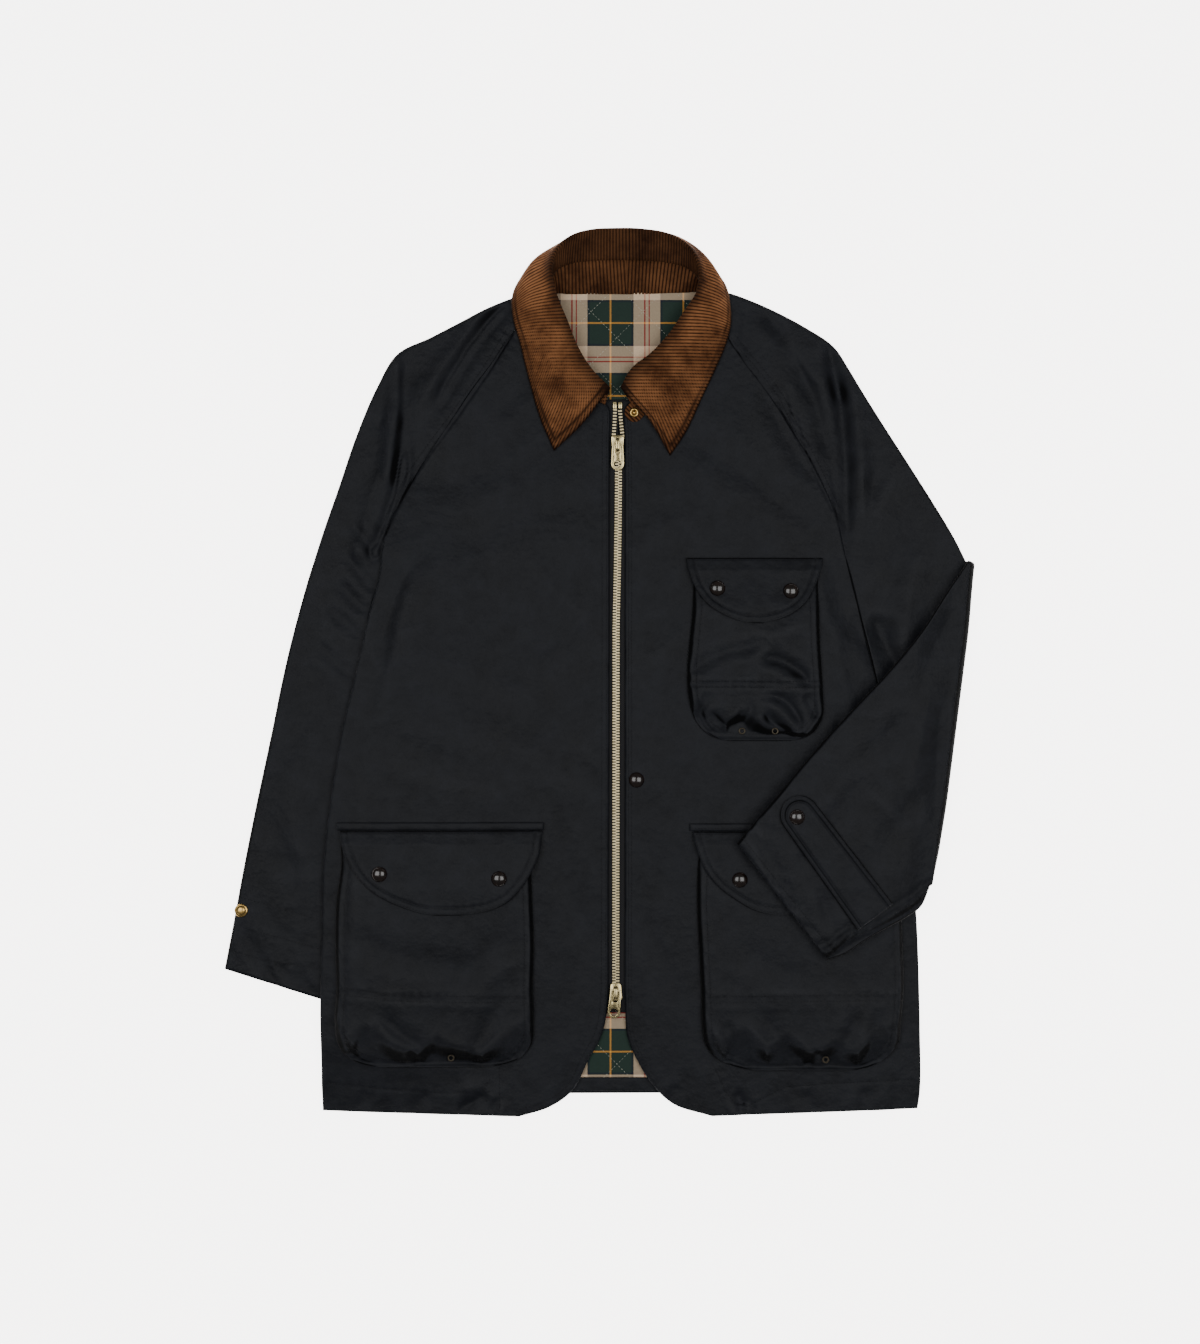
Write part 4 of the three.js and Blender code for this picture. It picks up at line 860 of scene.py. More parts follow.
# Crowns and valleys over a grid. They run level on the leaves and across the collar at the back.
def waleShape(grid, pitch, column):
    line = grid[:, column]
    steps = np.linalg.norm(np.diff(line, axis=0), axis=1)
    rise = np.diff(line[:, 1])
    along = np.concatenate([[0], np.cumsum(steps)])
    level = smooth((848 - line[:, 1]) / 55)
    share = (level[1:] + level[:-1]) / 2
    phase = np.concatenate([[0], np.cumsum(mix(steps, np.abs(rise), share))])
    side = np.where(np.arange(len(line)) < len(line) / 2, 1, -1)
    turned = phase[:, None] + (level * side)[:, None] * (grid[..., 1] - line[:, 1:2])
    return np.abs(np.sin(np.pi * turned / pitch)) ** 0.7, along


# Makes the stand or the fall, and returns its outer face and normals.
def makeCollar(node, shares, isFall):
    count = collar["rows"]
    grid = collarGrid(shares, count)
    wale, along = waleShape(grid, collar["walePitch"], grid.shape[1] // 2)
    normals = gridNormals(grid)
    if normals[count // 2, grid.shape[1] // 2, 2] < 0:
        normals = -normals
    x, y = grid[..., 0], grid[..., 1]
    # The stand takes an even painted shade.
    dent, fade, depth = 0 * x, 1 + 0 * x, collar["standShade"] + 0 * x
    if isFall:
        edgeWay = np.linalg.norm(grid - grid[:, -1:, :], axis=-1)
        row = np.arange(count)[:, None]
        endWay = np.minimum(row, count - 1 - row) * (along[-1] / count)
        rimWay = np.minimum(edgeWay, endWay)
        dent = (collar["longWaves"] * slowWaves(x, y, 41, 60) * smooth(edgeWay / 10)
                + collar["shortWaves"] * slowWaves(x, y, 42, 26))
        dent -= collar["seamDepth"] * hump(edgeWay - collar["seamInset"], collar["seamHalf"])
        dent -= collar["endSeamDepth"] * hump(endWay - collar["endSeamInset"], 1.2) * smooth((edgeWay - 5) / 2)
        fade = (0.35 + 0.65 * smooth(edgeWay / 3)) * (0.4 + 0.6 * smooth(endWay / 3))
        # The fall's painted shade: darker towards the ridge, in a band along its rim and along the seam's groove.
        depth = collar["fallShade"] * smooth((0.60 - np.linspace(0, 1, len(shares))[None, :]) / 0.25)
        depth = (depth + 0.35 * np.exp(-(rimWay / 5.5) ** 6)
                 + 0.8 * hump(rimWay - collar["seamInset"], collar["seamHalf"]))
    half = (cloth["collarThick"] / 2 * rimRound(x.shape, 0.4))[..., None]
    outer = grid + normals * (half + ((wale - collar["waleMiddle"]) * collar["waleHeight"] * fade + dent)[..., None])
    obj = bodyBetween(node + "Cloth", outer, grid - normals * half, corduroy,
                      {"wale": wale * fade, "depth": np.clip(depth, 0, collar["mostPaintedShade"])})
    area = gridArea(grid)
    wide = collar["fallWidth"] if isFall else max(collar["standWidth"], area / mm / mm / collar["length"])
    long = max(collar["length"], area / mm / mm / wide * 1.02)
    declare(obj, node, "folded", wide, long, min(area, wide * long * mm * mm), "corduroy")
    return outer, normals


makeCollar("collar_stand", np.linspace(0, collar["join"], collar["standColumns"]), False)
fall, fallNormals = makeCollar("collar_fall", np.linspace(collar["join"], 1, collar["fallColumns"]), True)
print("collar made")


# Lining, hem facing. Columns: left x and y, right x and y.
quiltPitch = liningLook["quiltPitch"]
neckLiningRows = [(-63, 825, 82, 826), (-63, 820, 80, 821), (-64, 800, 73, 800), (-60, 775, 66, 778),
                  (-52, 750, 55, 752), (-36, 730, 36, 732), (-16, 712, 16, 712)]
hemLiningRows = [(-50, 112, 44, 112), (-52, 75, 46, 75), (-54, 39, 48, 39)]
hemFacingRows = [(-70, 38.5, 60, 38.5), (-71, 32, 61, 32), (-72, 25, 62, 25)]
leastFlat = 10.5
liningCloth = {"under": 2.8, "thin": 0.9, "puff": 1.1, "waves": 0.25, "facing": 1.1, "facingWaves": 0.2}


# A sheet that lies on what is under it. Its flat size is measured on its grid, with the least that a sheet has.
def makeLaid(node, rows, underAt, thickness, material, tall, wide, detail, slotName="waxed_cotton", values=None,
             followed=True):
    rows = floats(rows)
    grid = railGrid(rows[:, :2], rows[:, 2:], tall, wide, 0.3)
    x, y = grid[..., 0], grid[..., 1]
    under, extra = underAt(x, y) + 0 * x, detail(x, y)
    full = thickness(x, y) if callable(thickness) else thickness
    rim = rimRound(x.shape, 0.4)
    top = under + full * (0.5 + 0.5 * rim) + extra
    low = under + full * (0.5 - 0.5 * rim) + (np.maximum(extra, -0.2) if followed else 0)
    obj = bodyBetween(node + "Cloth", withHeight(grid, top), withHeight(grid, low), material,
                      {"rub": rubOf(top), **(values(x, y) if values else {})})
    area = gridArea(withHeight(grid, top))
    width = max(np.linalg.norm(grid[len(grid) // 2, 0] - grid[len(grid) // 2, -1]), leastFlat)
    length = max(np.linalg.norm(np.diff(grid[:, wide // 2], axis=0), axis=1).sum(), leastFlat)
    grow = max(1.0, math.sqrt(area / (width * length * mm * mm)) * 1.005)
    declare(obj, node, "laid", width * grow, length * grow, area, slotName)


def quiltThickness(x, y):
    ridge = lambda t: np.abs(np.sin(math.pi * t / quiltPitch))
    return liningCloth["thin"] + liningCloth["puff"] * np.sqrt(ridge(x + y) * ridge(x - y))


def onLining(x, y):
    return liningCloth["under"] + 0 * x


for node, rows, tall, wide, seed in (("lining_neck", neckLiningRows, 64, 78, 51),
                                     ("lining_hem", hemLiningRows, 44, 60, 52)):
    makeLaid(node, rows, onLining, quiltThickness, liningCheck, tall, wide,
             lambda x, y: liningCloth["waves"] * slowWaves(x, y, seed, 24), "lining", followed=False)
makeLaid("hem_facing", hemFacingRows, onLining, liningCloth["facing"], waxedCotton, 14, 100,
         lambda x, y: liningCloth["facingWaves"] * slowWaves(x, y, 53, 22), followed=False)
print("lining made")


# Pockets. Bag columns: y, left x, right x, from the mouth down. Rise: at the mouth and at the bottom.
pockets = {
    "lower_pocket_right": {
        "rise": (7, 10.5),
        "bag": [(272, -276, -84), (255, -275, -85.5), (215, -280, -84.5), (170, -281, -83), (130, -280, -84),
                (96, -282, -83), (75, -279, -84.5), (66, -274, -89.5), (58, -265, -98), (53, -250, -113),
                (50, -230, -135)],
        "flap": [(286.6, -277.5, -74), (281.5, -276.5, -74.7), (277, -275.7, -75.3), (272.8, -274.8, -76),
                 (264, -272, -77), (251, -265, -82.5), (238, -256, -89.5), (226.5, -244, -98), (217, -228, -107),
                 (210, -211, -120), (205.5, -196, -136), (203, -180, -158)],
        "welt": [(295, -280, -73), (291, -280, -73), (287.2, -280, -73)],
        "caps": [(-236.5, 243.8), (-117.6, 239.1)], "eyelets": [(-165.6, 60)],
        "seam": [(-275, 128), (-221, 121), (-160, 119), (-84, 118)],
        "sag": [(-282, 100), (-262, 78), (-240, 94), (-222, 76), (-198, 66), (-180, 84), (-160, 72), (-135, 64),
                (-112, 84), (-84, 104)],
        "folds": [(-240, 240, -262, 262, -0.5, 5, 1), (-118, 240, -100, 262, -0.5, 5, 1),
                  (-200, 262, -150, 225, -0.5, 10, 3), (-260, 180, -150, 150, -0.7, 13, 5),
                  (-230, 100, -180, 62, -0.9, 9, 3), (-120, 110, -150, 60, -0.8, 9, -3),
                  (-250, 90, -262, 60, -0.8, 6, 1), (-205, 66, -196, 52, -1.0, 5, 0),
                  (-100, 160, -160, 100, 0.6, 12, 4)]},
    "lower_pocket_left": {
        "rise": (7, 10.5),
        "bag": [(271, 84, 278), (255, 81, 281), (215, 80, 284), (170, 82, 286), (127.5, 84, 287), (90, 85, 284),
                (76, 87, 282.5), (66, 92, 277), (58, 100, 268), (51, 117, 254), (46, 140, 230)],
        "flap": [(285.4, 75.6, 281), (280.5, 76.2, 280.6), (276, 77, 280), (271.8, 78.3, 278.8), (264, 80.8, 276),
                 (247.5, 88, 269), (231, 101, 257), (218, 118, 240), (207.5, 137, 221), (203.5, 154, 205),
                 (202.8, 170, 190)],
        "welt": [(293.5, 72.5, 281), (290, 72.5, 281), (286, 72.5, 281)],
        "caps": [(122.4, 237.7), (234, 237)], "eyelets": [(208.2, 58)],
        "seam": [(90, 118), (160, 119), (230, 120), (286, 120)],
        "sag": [(84, 100), (104, 76), (128, 92), (150, 70), (170, 84), (196, 64), (216, 76), (240, 66), (262, 90),
                (286, 98)],
        "folds": [(122, 238, 104, 262, -0.5, 5, 1), (130, 170, 180, 140, -0.7, 12, 4),
                  (150, 100, 180, 60, -0.8, 9, 3), (240, 100, 215, 60, -0.8, 9, -3), (110, 90, 120, 60, -0.8, 7, 1),
                  (200, 66, 190, 50, -1.0, 5, 0), (262, 100, 250, 62, -0.8, 7, 0)]},
    "chest_pocket": {
        "rise": (6.8, 8),
        "bag": [(546, 76, 201), (530, 76, 201), (507, 75.5, 202), (472, 72, 203), (444, 70, 205), (423, 71, 206),
                (404, 75, 206.5), (394, 80, 203), (385, 88, 197), (379, 98, 187), (376, 112, 172)],
        "flap": [(559, 69, 205.5), (554, 69.6, 205.3), (550, 70.2, 204.8), (546.6, 71.2, 203.6), (531, 77, 198),
                 (514, 89, 188), (503, 105, 174), (496.5, 121, 157), (494, 134, 143)],
        "caps": [(100.2, 528.6), (173.5, 525.8)], "eyelets": [(125, 386), (157.8, 386)],
        "seam": [(76, 433), (120, 433), (160, 432), (205, 433)],
        "sag": [(72, 425), (76, 421), (99, 403), (109, 393), (123, 409), (137, 401), (151, 393), (175, 385), (191, 384),
                (203, 400)],
        "folds": [(78, 449, 130, 469, -0.9, 7, -4), (130, 469, 147, 477, -0.7, 6, -1),
                  (151, 459, 190, 438, -1.6, 7, -4),
                  (95, 404, 118, 388, -1.4, 7, 2), (118, 388, 135, 410, -1.0, 6, 2),
                  (155, 422, 183, 395, -1.2, 6, -5), (150, 400, 175, 384, -1.5, 6, 2), (90, 420, 80, 392, -0.9, 6, 1),
                  (190, 420, 200, 400, -0.8, 6, 1), (100, 529, 116, 552, -0.45, 4, 1),
                  (173, 526, 192, 550, -0.45, 4, 1), (140, 480, 180, 490, 0.6, 9, 2)]}}
pocketLook = {"bagRows": 84, "bagColumns": 82, "bagGap": 0.15, "bagFolds": 2.6, "bagWaves": ((0.5, 70), (0.3, 26)),
              "seamInset": 9, "seamGroove": 0.9, "sideGroove": 0.6, "sag": 9.0, "flapRows": 48, "flapColumns": 92,
              "flapGap": 0.1, "flapOver": 0.9, "flapWaves": ((0.35, 80), (0.16, 28)), "flapLift": 0.5,
              "flapGroove": 0.8, "capDent": 0.7, "eyeletDent": 0.8, "weltWaves": 0.25}


def bagRise(pocket, y):
    low, high = pocket["rise"]
    first, last = pocket["bag"][0][0], pocket["bag"][-1][0]
    return mix(low, high, smooth((first - y) / (first - last))) - 4.2 * (1 - smooth((first - y) / 45))


def bagFace(pocket, inset, detailAt):
    rows = floats(pocket["bag"])
    bottom = rows[-1, 0]
    n = pocketLook["bagRows"]
    ts = np.linspace(0, 1, n) ** 0.92
    left, right = railPoints(rows[:, [1, 0]], ts), railPoints(rows[:, [2, 0]], ts)
    edge = [0.003, 0.006, 0.994, 0.997]
    c = np.unique(np.concatenate([np.linspace(0, 1, pocketLook["bagColumns"]), edge]))
    y = np.maximum(left[:, 1], bottom + inset * smooth((ts - 0.8) / 0.2))[:, None] + 0 * c[None, :]
    x = mix((left[:, 0] + inset)[:, None], (right[:, 0] - inset)[:, None], c[None, :])
    aside = np.minimum(x - left[:, :1], right[:, :1] - x) - inset
    near = np.maximum(0, np.minimum(aside, (y - bottom - inset) * 0.9)) / (cloth["bagEdge"] * 0.72 - inset)
    rounded = np.sqrt(1 - (1 - np.minimum(near, 1)) ** 2)
    z = frontTopAt(x, y) + cloth["seamGap"] + pocketLook["bagGap"] + (bagRise(pocket, y) - inset) * rounded
    return np.stack([x, y, z + detailAt(x, y) * rounded ** 2], -1)


def bagDetail(pocket, seed):
    look, rows = pocketLook, floats(pocket["bag"])
    bottom = rows[-1, 0]

    def at(x, y):
        z = look["bagFolds"] * foldField(x, y, pocket["folds"]) + uneven(x, y, seed, look["bagWaves"])
        z += seamRelief(x, y, pocket["seam"], seed + 2, 9, 6, 0.35, look["seamGroove"], 1.3)
        z += 0.5 * hump(nearPath(x, y, pocket["seam"])[0] - 6, 4)
        for column, side in ((1, 1), (2, -1)):
            path = [(r[column] + side * look["seamInset"], r[0]) for r in rows[:-1]]
            z += seamRelief(x, y, path, seed + 3 + side, 8, 5, 0.28, look["sideGroove"], 1.3)
        for ex, ey in pocket["eyelets"]:
            z -= look["eyeletDent"] * hump(np.hypot(x - ex, y - ey), 9)
        turn = np.interp(x, *floats(pocket["sag"]).T)
        z += 0.7 * hump(y - turn - 3, 5) - look["sag"] * smooth((turn - y) / np.maximum(turn - bottom - 2, 6))
        return np.maximum(z, 0.8 - bagRise(pocket, y) * 0.94)
    return at


def makeBag(name, pocket, detail):
    outer, inner = (bagFace(pocket, inset, detail) for inset in (0, cloth["bagShell"]))
    obj = bodyBetween(name + "Cloth", outer, inner, waxedCotton, {"rub": rubOf(outer[..., 2])})
    declare(obj, name, "stretched", np.ptp(outer[..., 0]) + 24, np.ptp(outer[..., 1]) + 16, gridArea(outer))


def bagTopAt(pocket, detail):
    return lambda x, y: (frontTopAt(x, y) + cloth["seamGap"] + pocketLook["bagGap"] + bagRise(pocket, y)
                         + detail(x, y))


def flapUnderAt(pocket):
    top, mouth = pocket["flap"][0][0], pocket["bag"][0][0]

    def at(x, y):
        over = np.clip((top - y) / (top - mouth - 0.6) * 0.8 + 0.2, 0, 1)
        rise = bagRise(pocket, np.minimum(y, mouth)) + pocketLook["flapOver"]
        return bridged(x, y) + cloth["seamGap"] + pocketLook["flapGap"] + rise * over
    return at


# Points beside an open chain; positive goes to its left.
def beside(path, distance):
    path = floats(path)
    direction = unit(np.gradient(path, axis=0))
    return path + np.column_stack([-direction[:, 1], direction[:, 0]]) * distance


# Edge of a flap, drawn in by `inset`: down one side, along the bottom and up the other.
def flapPath(pocket, inset):
    rows = floats(pocket["flap"])
    ts = np.linspace(0, 1, 60)
    left, right = railPoints(rows[:, [1, 0]], ts), railPoints(rows[:, [2, 0]], ts)
    return beside(np.concatenate([left, right[::-1]]), inset)


def flapDetail(pocket, seed):
    look, path = pocketLook, flapPath(pocket, 7)[::4]

    def at(x, y):
        z = look["flapLift"] + uneven(x, y, seed, look["flapWaves"])
        z += seamRelief(x, y, path, seed + 2, 9, 5, 0.22, look["flapGroove"], 1.3)
        for cx, cy in pocket["caps"]:
            z -= look["capDent"] * hump(np.hypot(x - cx, y - cy), 11)
        return z
    return at


def flapTopAt(under, detail):
    return lambda x, y: under(x, y) + cloth["shell"] + detail(x, y)


bagTops, flapTops = {}, {}
for seed, (name, pocket) in enumerate(pockets.items()):
    bagSoft, flapSoft = bagDetail(pocket, 60 + 10 * seed), flapDetail(pocket, 90 + 10 * seed)
    under = flapUnderAt(pocket)
    makeBag(name, pocket, bagSoft)
    makeLaid(name.replace("pocket", "flap"), [(r[1], r[0], r[2], r[0]) for r in pocket["flap"]], under,
             cloth["shell"], waxedCotton, pocketLook["flapRows"], pocketLook["flapColumns"], flapSoft)
    if "welt" in pocket:
        makeLaid(name.replace("pocket", "welt"), [(r[1], r[0], r[2], r[0]) for r in pocket["welt"]],
                 lambda x, y: bridged(x, y) + cloth["seamGap"], cloth["shell"], waxedCotton, 8, 92,
                 lambda x, y: pocketLook["weltWaves"] * slowWaves(x, y, 130, 40))
    bagTops[name], flapTops[name] = bagTopAt(pocket, bagSoft), flapTopAt(under, flapSoft)
print("pockets made")


# Strap on the folded forearm and the tab at the throat
strap = {"x": 181, "y": 303, "half": 19.5, "length": 126, "angle": -53.4, "flare": 0.02, "lift": 0.9,
         "waves": 0.35, "rimHeight": 0.45, "grooveDepth": 0.85}
strapCap = (178.4, 301.2)
throat = {"x": 17.1, "y": 704.5, "half": 9.4, "length": 26, "angle": 47, "flare": 0, "under": 9.7, "thick": 1.1}


def tongueRows(piece, stations):
    angle = math.radians(piece["angle"])
    ax, ay = math.cos(angle), math.sin(angle)
    rows = []
    for k in stations:
        half = piece["half"] * (math.sqrt(1 - min(k, 0) ** 2) + piece["flare"] * max(k, 0))
        x, y = piece["x"] + ax * k * piece["half"], piece["y"] + ay * k * piece["half"]
        rows.append((x + ay * half, y - ax * half, x - ay * half, y + ax * half))
    return rows


def armTop(x, y):
    return forearmHeight(x, y) + cloth["sleeveHalf"] + cloth["seamGap"]


# A raised hem along the strap's edge, with the groove of its seam inside.
def strapDetail(x, y):
    angle = math.radians(strap["angle"])
    dx, dy = x - strap["x"], y - strap["y"]
    along = dx * math.cos(angle) + dy * math.sin(angle)
    aside = np.abs(dy * math.cos(angle) - dx * math.sin(angle))
    half = strap["half"] + strap["flare"] * along
    rimWay = np.where(along < 0, strap["half"] - np.hypot(along, aside), half - aside)
    return (strap["lift"] + strap["waves"] * slowWaves(x, y, 140, 40) + strap["rimHeight"] * hump(rimWay - 3, 2)
            - strap["grooveDepth"] * hump(rimWay - 6, 1.2))


roundEnd = [-0.995, -0.96, -0.9, -0.8, -0.7, -0.55, -0.4, -0.2, 0]
strapRows, throatRows = (tongueRows(piece, roundEnd + list(np.linspace(0.3, piece["length"] / piece["half"], count)))
                         for piece, count in ((strap, 16), (throat, 6)))
makeLaid("cuff_strap", strapRows, armTop, cloth["shell"], waxedCotton, 110, 44, strapDetail)
# The tab takes an even share of the painted shade.
makeLaid("throat_tab", throatRows, lambda x, y: throat["under"] + 0 * x, throat["thick"], corduroy, 40, 24,
         lambda x, y: 0 * x, "corduroy",
         lambda x, y: {"wale": np.abs(np.sin((x + y) * 0.7)), "depth": 0 * x + 0.35})
print("strap and tab made")


# Round hardware. A profile is turned round the vertical; each point is a radius and a height.
def lathe(name, profile, x, y, z, material, node=None, slotName=None, turns=48):
    rings, closed = len(profile), profile[0][0] > 1e-6
    angles = np.linspace(0, 2 * math.pi, turns, endpoint=False)
    points = [(x + r * math.cos(a), y + r * math.sin(a), z + h) for r, h in profile for a in angles]
    faces = []
    for i in range(rings if closed else rings - 1):
        this, following = i * turns, (i + 1) % rings * turns
        faces += [(this + j, this + k, following + k, following + j)
                  for j, k in zip(range(turns), [*range(1, turns), 0])]
    mesh = bpy.data.meshes.new(name)
    mesh.from_pydata(toWorld(points).tolist(), [], faces)
    faceOut(mesh, weld=True)
    obj = newObject(name, mesh, material)
    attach(obj, "jacket")
    if node:
        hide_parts(node)


def highest(heightAt, x, y, radius):
    around = np.linspace(0, 2 * math.pi, 13)
    return float(np.max(heightAt(x + radius * np.cos(around), y + radius * np.sin(around))))


cap = {"radius": 7.7, "height": 3.9, "sunk": 0.35}
eyelet = {"inner": 1.8, "outer": 3.6, "tall": 1.1}
stud = {"x": -376, "y": 206.5, "z": 8.5}


def domeProfile(radius, height):
    lip = [(0, 0), (radius - 0.5, 0), (radius - 0.15, 0.15), (radius, 0.4), (radius - 0.1, 0.7),
           (radius - 0.3, 0.85)]
    dome = [(radius * math.sin(t) * 0.95, 0.8 + (height - 0.8) * math.cos(t)) for t in np.linspace(1.45, 0.08, 14)]
    return lip + dome + [(0, height)]


def makeCap(node, x, y, heightAt):
    base = highest(heightAt, x, y, cap["radius"] * 0.9) - cap["sunk"]
    lathe(node + "Round", domeProfile(cap["radius"], cap["height"]), x, y, base, enamel, node, "dark_cap")


def ringProfile(inner, outer, tall):
    middle, half = (inner + outer) / 2, (outer - inner) / 2
    return [(middle + half * math.cos(t), tall * 0.5 + tall * 0.5 * math.sin(t))
            for t in np.linspace(0, 2 * math.pi, 14, endpoint=False)]


for name, pocket in pockets.items():
    for i, (x, y) in enumerate(pocket["caps"], 1):
        makeCap(f"{name.replace('pocket', 'cap')}_{i}", x, y, flapTops[name])
    for i, (x, y) in enumerate(pocket["eyelets"], 1):
        lathe(f"{name}Eyelet{i}", ringProfile(*eyelet.values()), x, y, highest(bagTops[name], x, y, 3.4) - 0.2,
              agedBrass, f"{name.replace('pocket', 'eyelet')}_{i}", "brass", 36)
makeCap("strap_cap", *strapCap, lambda x, y: armTop(x, y) + cloth["shell"] + 0.7)
makeCap("front_cap", *frontCap, lambda x, y: frontTopAt(x, y) + frontDetail(x, y))
lathe("cuffStudRound", [(0, 0), (5.9, 0), (6.5, 0.4), (6.6, 1.0), (6.1, 1.5), (5.2, 1.45), (4.7, 1.7), (4.1, 2.4),
                        (2.6, 2.85), (0, 2.95)], *stud.values(), goldBrass, "cuff_stud", "brass")
throatTop = throat["under"] + throat["thick"]
lathe("throatSnapRing", [(1.9, 0), (4.7, 0), (4.9, 0.4), (4.6, 1.0), (3.9, 1.5), (2.9, 1.5), (2.2, 1.0), (1.9, 0.6)],
      throat["x"], throat["y"], throatTop + 0.05, goldBrass, "throat_snap", "brass")
lathe("throatSnapFloor", [(0, 0), (2.4, 0), (2.4, 0.35), (0, 0.35)], throat["x"], throat["y"], throatTop + 0.02,
      goldBrass, turns=24)
print("round hardware made")


# Cast sliders and pull tabs, with their edges rounded
metalLook = {"bevel": 0.28, "segments": 3, "sharpAngle": 25.0, "edgeAngle": 32.0}


def roundedCopy(node, body, material):
    source = bpy.data.objects[node]
    mesh = source.data.copy()
    mesh.transform(source.matrix_world)
    bm = bmesh.new()
    bm.from_mesh(mesh)
    bmesh.ops.remove_doubles(bm, verts=bm.verts, dist=0.01 * mm)
    bmesh.ops.dissolve_limit(bm, angle_limit=math.radians(1), verts=bm.verts, edges=bm.edges)
    sharp = [e for e in bm.edges if len(e.link_faces) == 2
             and e.calc_face_angle(0) > math.radians(metalLook["sharpAngle"])]
    bmesh.ops.bevel(bm, geom=sharp, offset=metalLook["bevel"] * mm, segments=metalLook["segments"], profile=0.5,
                    affect="EDGES", clamp_overlap=True)
    bmesh.ops.triangulate(bm, faces=[f for f in bm.faces if len(f.verts) > 4])
    bm.to_mesh(mesh)
    bm.free()
    mesh.materials.clear()
    mesh.materials.append(material)
    setSmooth(mesh)
    mesh.set_sharp_from_angle(angle=math.radians(metalLook["edgeAngle"]))
    obj = newObject(node + "Cast", mesh)
    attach(obj, body)
    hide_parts(node)


for node, body in (("upper_slider", "jacket"), ("lower_slider", "jacket"), ("upper_pull", "upper_tab"),
                   ("lower_pull", "lower_tab"), ("top_stop_right", "jacket"), ("top_stop_left", "jacket")):
    roundedCopy(node, body, paleBrass)
print("cast metal made")


# Small shapes in a row along paths: the paths as a mesh of edges.
def pathObject(name, paths):
    verts, edges = [], []
    for path in paths:
        start = len(verts)
        verts += [list(p) for p in toWorld(np.array(path))]
        edges += [(i, i + 1) for i in range(start, len(verts) - 1)]
    mesh = bpy.data.meshes.new(name)
    mesh.from_pydata(verts, edges, [])
    return newObject(name, mesh)


rowSeed = 7


# A tree that sets one shape again and again along paths, with sizes that vary by `jitter`.
def rowTree(name, addShape, axis, pivot, jitter=0.0):
    tree = bpy.data.node_groups.new(name, "GeometryNodeTree")
    for label, kind in (("Path", "Geometry"), ("Spacing", "Float"), ("Size", "Vector"), ("Material", "Material")):
        tree.interface.new_socket(label, in_out="INPUT", socket_type="NodeSocket" + kind)
    tree.interface.new_socket("Geometry", in_out="OUTPUT", socket_type="NodeSocketGeometry")
    given, result = addNode(tree, "NodeGroupInput"), addNode(tree, "NodeGroupOutput")
    curve = addNode(tree, "GeometryNodeMeshToCurve")
    points = addNode(tree, "GeometryNodeCurveToPoints", mode="LENGTH")
    align = addNode(tree, "FunctionNodeAlignRotationToVector", axis=axis, pivot_axis=pivot)
    place = addNode(tree, "GeometryNodeInstanceOnPoints")
    size = addNode(tree, "ShaderNodeVectorMath", operation="MULTIPLY")
    varied = addNode(tree, "FunctionNodeRandomValue",
                     {"Min": (1 - jitter,) * 3, "Max": (1 + jitter,) * 3, "Seed": rowSeed}, data_type="FLOAT_VECTOR")
    real, paint = addNode(tree, "GeometryNodeRealizeInstances"), addNode(tree, "GeometryNodeSetMaterial")
    for source, output, target, socket in (
            (given, "Path", curve, "Mesh"), (curve, "Curve", points, "Curve"), (given, "Spacing", points, "Length"),
            (points, "Tangent", align, "Vector"), (points, "Points", place, "Points"),
            (align, "Rotation", place, "Rotation"), (given, "Size", size, 0), (varied, "Value", size, 1),
            (size, "Vector", place, "Scale"), (place, "Instances", real, "Geometry"),
            (real, "Geometry", paint, "Geometry"), (given, "Material", paint, "Material"),
            (paint, "Geometry", result, "Geometry")):
        tree.links.new(source.outputs[output], target.inputs[socket])
    tree.links.new(addShape(tree), place.inputs["Instance"])
    return tree


# Runs the tree on the paths and keeps the outcome as a plain mesh.
def rowObject(name, paths, tree, spacing, size, material, smoothed=True):
    carrier = pathObject(name + "Path", paths)
    modifier = carrier.modifiers.new("rows", "NODES")
    modifier.node_group = tree
    values = {"Spacing": spacing * mm, "Size": tuple(s * mm for s in size), "Material": material}
    for item in tree.interface.items_tree:
        if item.in_out == "INPUT" and item.name in values:
            modifier[item.identifier] = values[item.name]
    carrier.update_tag()
    bpy.context.view_layer.update()
    mesh = bpy.data.meshes.new_from_object(carrier.evaluated_get(bpy.context.evaluated_depsgraph_get()))
    mesh.name = name
    bpy.data.objects.remove(carrier, do_unlink=True)
    setSmooth(mesh, smoothed)
    obj = newObject(name, mesh, None if mesh.materials else material)
    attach(obj, "jacket")
    print(name, len(mesh.polygons), "faces")
    return obj


def stitchShape(tree):
    return addNode(tree, "GeometryNodeMeshIcoSphere", {"Radius": 0.5, "Subdivisions": 1}).outputs["Mesh"]


# A tooth: three bars of one middle, each narrower and higher than the one before.
def toothShape(tree):
    join = addNode(tree, "GeometryNodeJoinGeometry")
    for size in ((0.94, 1.0, 0.7), (1.0, 0.86, 0.8), (0.93, 0.6, 1.0)):
        bar = addNode(tree, "GeometryNodeMeshCube", {"Size": size})
        tree.links.new(bar.outputs["Mesh"], join.inputs["Geometry"])
    return join.outputs["Geometry"]


stitchTree = rowTree("stitchRows", stitchShape, "X", "AUTO", 0.12)
toothTree = rowTree("toothRows", toothShape, "Y", "Z")

# Zip
zipLook = {"pitch": 2.87, "tooth": (3.7, 1.5, 2.2), "middle": 6.95, "openMiddle": 6.9, "reach": 1.6,
           "tapeUnder": 4.5, "tapeThick": 0.9, "tapeWide": 15, "tapeInner": 0.25, "weaveHeight": 0.06,
           "weaveTurn": 2.1, "ridgeHeight": 0.25, "ridgeAt": 5.4}


def chainX(y):
    return np.interp(y, (132, 490, 545, 600, 665), (-1.2, -0.9, 0.3, 1.2, 1.6))


